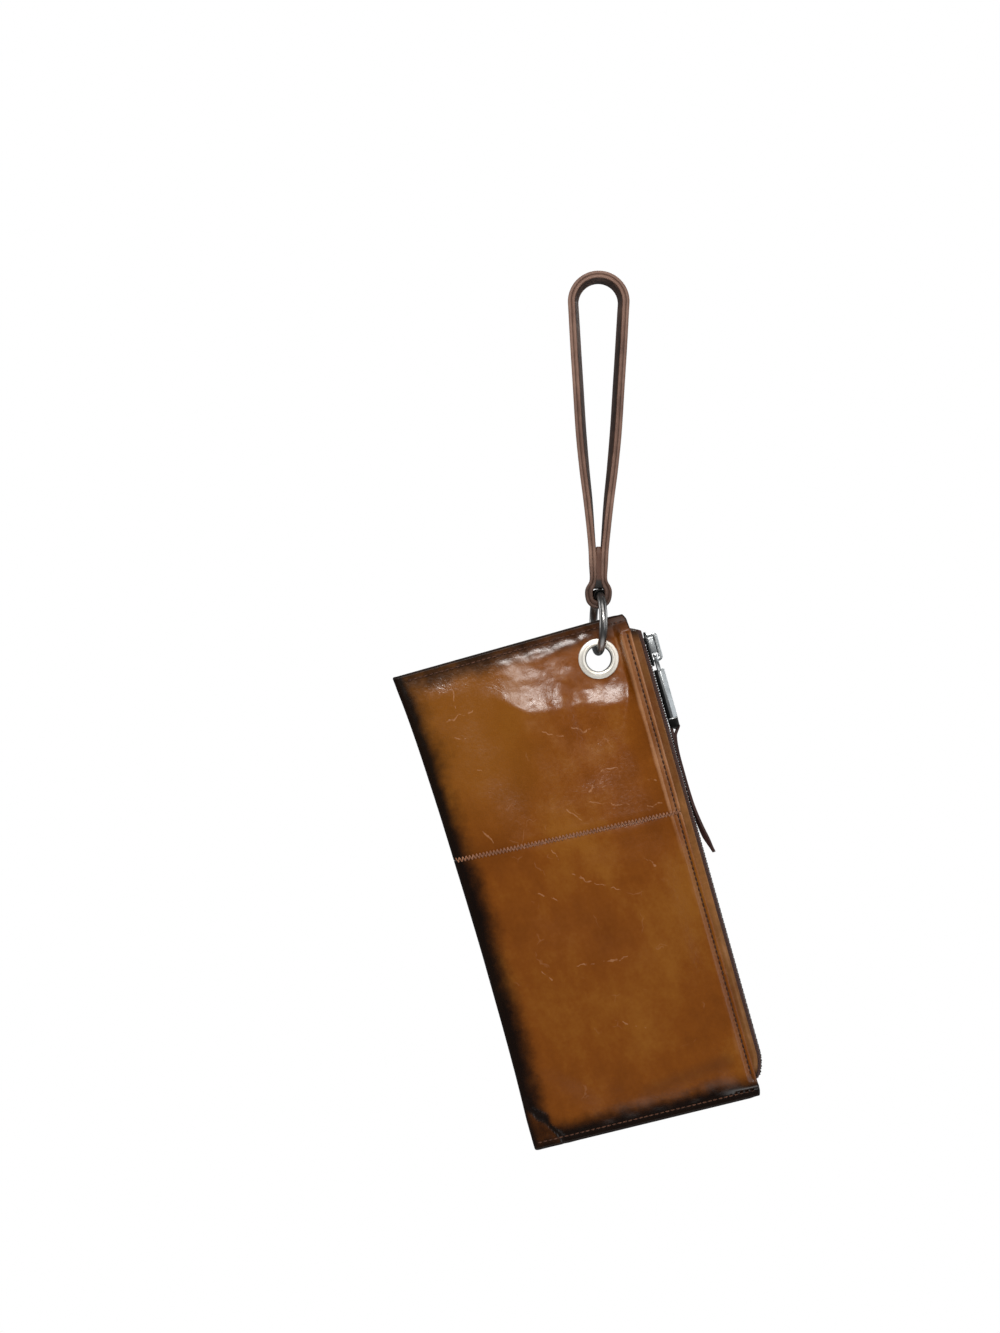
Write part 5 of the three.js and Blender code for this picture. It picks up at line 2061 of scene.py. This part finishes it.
    def sleeve(self, ring: EyeletAndRing) -> Skin:
        """The eye's inner leather: an outline of reach by height off the wire, carried round the ring's top.

        Args:
            ring: The ring in the eye.

        Returns:
            The closed skin in the row frame.
        """
        outline = rounded(self.sleeve_half, self.sleeve_thick / 2, 0.3, 3)
        turn = np.pi / 2 + outline[:, 0] / ring.ring_radius
        height = ring.wire + self.sleeve_gap + self.sleeve_thick / 2 + outline[:, 1]
        middle, out, side = ring.circle(turn)
        around = 2 * np.pi * np.arange(self.sleeve_steps)[:, None, None] / self.sleeve_steps
        points = middle + height[:, None] * (np.cos(around) * out + np.sin(around) * side)
        faces = grid_faces(self.sleeve_steps, len(outline), wrap_rows=True, wrap_cols=True)
        # Darkened all over as painted shade inside the eye
        return Skin(points.reshape(-1, 3), faces, {"burnish": np.full(points.size // 3, 4.0)}).outward()

    def build(self) -> None:
        """Makes the band, the tongue in its neck and the eye's inner leather."""
        self.shop.make("strap_band", self.band(), STRAP, Body.STRAP, "strap_leather", ("wrist_strap",))
        inner = joined([self.filler(), self.sleeve(EyeletAndRing(self.shop))])
        self.shop.make("strap_tongue", inner, FILLER, Body.STRAP, "strap_leather")


@dataclass
class Studio:
    """Pale floor, soft lights and the camera at the photograph's angle."""

    middle_x: float = -0.0433
    middle_z: float = -0.1696
    view_high: float = 0.5865
    distance: float = 1.25
    sensor: float = 36.0
    floor_drop: float = -0.66
    floor_half: float = 4.0
    aim: Point = (0.0, 0.0, -0.24)

    def floor(self) -> None:
        """A pale floor that thins out to the background with the distance from its middle."""
        half, low = self.floor_half, self.floor_drop
        corners = [(-half, -half, low), (half, -half, low), (half, half, low), (-half, half, low)]
        mesh = bpy.data.meshes.new("floor")
        mesh.from_pydata(corners, [], [(0, 1, 2, 3)])
        tree = Tree("floor_paper")
        tone = tree.mix(tree.noise(3, 3), (0.86, 0.855, 0.845), (0.9, 0.895, 0.885))
        tree.dressed(Base_Color=tone, Roughness=0.7, Emission_Color=(1.0, 1.0, 1.0), Emission_Strength=0.5)
        clear = tree.node("ShaderNodeBsdfTransparent", {})
        far = tree.span(tree.number("LENGTH", tree.reach("MULTIPLY", tree.place, (1, 1, 0))), 0.12, 0.6)
        both = tree.node("ShaderNodeMixShader", {0: far, 1: tree.shader.outputs["BSDF"], 2: clear.outputs[0]})
        tree.links.new(both.outputs[0], tree.surface)
        mesh.materials.append(tree.material)
        floor = bpy.data.objects.new("floor", mesh)
        bpy.context.scene.collection.objects.link(floor)

    def light(self, name: str, place: Point, size: tuple[float, float], power: float, tint: Colour) -> None:
        """A soft rectangular light, turned toward the studio's aim.

        Args:
            name: The light's name.
            place: Where it stands, in metres.
            size: Its two sides, in metres.
            power: Its power, in watts.
            tint: Its colour.
        """
        lamp = bpy.data.lights.new(name, "AREA")
        lamp.shape = "RECTANGLE"
        lamp.size, lamp.size_y = size
        lamp.energy = power
        lamp.color = tint
        made = bpy.data.objects.new(name, lamp)
        made.location = place
        toward = Vector(self.aim) - made.location
        made.rotation_euler = toward.to_track_quat("-Z", "Y").to_euler()
        bpy.context.scene.collection.objects.link(made)

    def world(self) -> None:
        """A white background for the camera, and a dimmer sky for what the surfaces see."""
        world = bpy.data.worlds.new("studio")
        world.use_nodes = True
        nodes, links = world.node_tree.nodes, world.node_tree.links
        nodes.clear()
        out = nodes.new("ShaderNodeOutputWorld")
        seen, felt = nodes.new("ShaderNodeBackground"), nodes.new("ShaderNodeBackground")
        seen.inputs["Color"].default_value = (1, 1, 1, 1)
        felt.inputs["Color"].default_value = (0.96, 0.98, 1, 1)
        felt.inputs["Strength"].default_value = 0.12
        path, both = nodes.new("ShaderNodeLightPath"), nodes.new("ShaderNodeMixShader")
        links.new(path.outputs["Is Camera Ray"], both.inputs[0])
        links.new(felt.outputs[0], both.inputs[1])
        links.new(seen.outputs[0], both.inputs[2])
        links.new(both.outputs[0], out.inputs["Surface"])
        bpy.context.scene.world = world

    def camera(self) -> None:
        """The camera, level and square to the front, framing the photograph's field at the object's middle."""
        data = bpy.data.cameras.new("camera")
        data.sensor_width = self.sensor
        data.lens = self.sensor * self.distance / self.view_high
        made = bpy.data.objects.new("camera", data)
        made.location = (self.middle_x, -self.distance, self.middle_z)
        made.rotation_euler = (np.pi / 2, 0, 0)
        bpy.context.scene.collection.objects.link(made)
        bpy.context.scene.camera = made

    def build(self) -> None:
        """Sets up the whole studio."""
        self.camera()
        self.world()
        self.floor()
        self.light("top", (-0.15, -0.75, 0.85), (0.9, 0.6), 4.5, (1, 0.98, 0.95))
        self.light("glint", (-0.1, -1.25, 0.37), (0.45, 0.16), 13.0, (1, 0.97, 0.94))
        self.light("fill", (0.92, -1.1, -0.05), (0.75, 1.1), 3.4, (0.96, 0.98, 1))
        self.light("back", (0.2, 1.0, 0.6), (0.9, 0.7), 18.0, (1, 1, 1))
        self.light("left", (-1.3, 0.3, 0.15), (0.6, 0.9), 5.0, (1, 1, 1))
        self.light("right", (1.3, 0.3, 0.15), (0.6, 0.9), 5.0, (1, 1, 1))
        bpy.context.scene.view_settings.view_transform = "Standard"


def main() -> None:
    """Builds the wristlet and its studio."""
    logging.basicConfig(level=logging.INFO, format="%(name)s: %(message)s")
    shop = Workshop()
    Studio().build()
    for part in (Pouch, ZipEdge, Slider, PullTab, EyeletAndRing, WristStrap):
        part(shop).build()


if __name__ == "__main__":
    main()
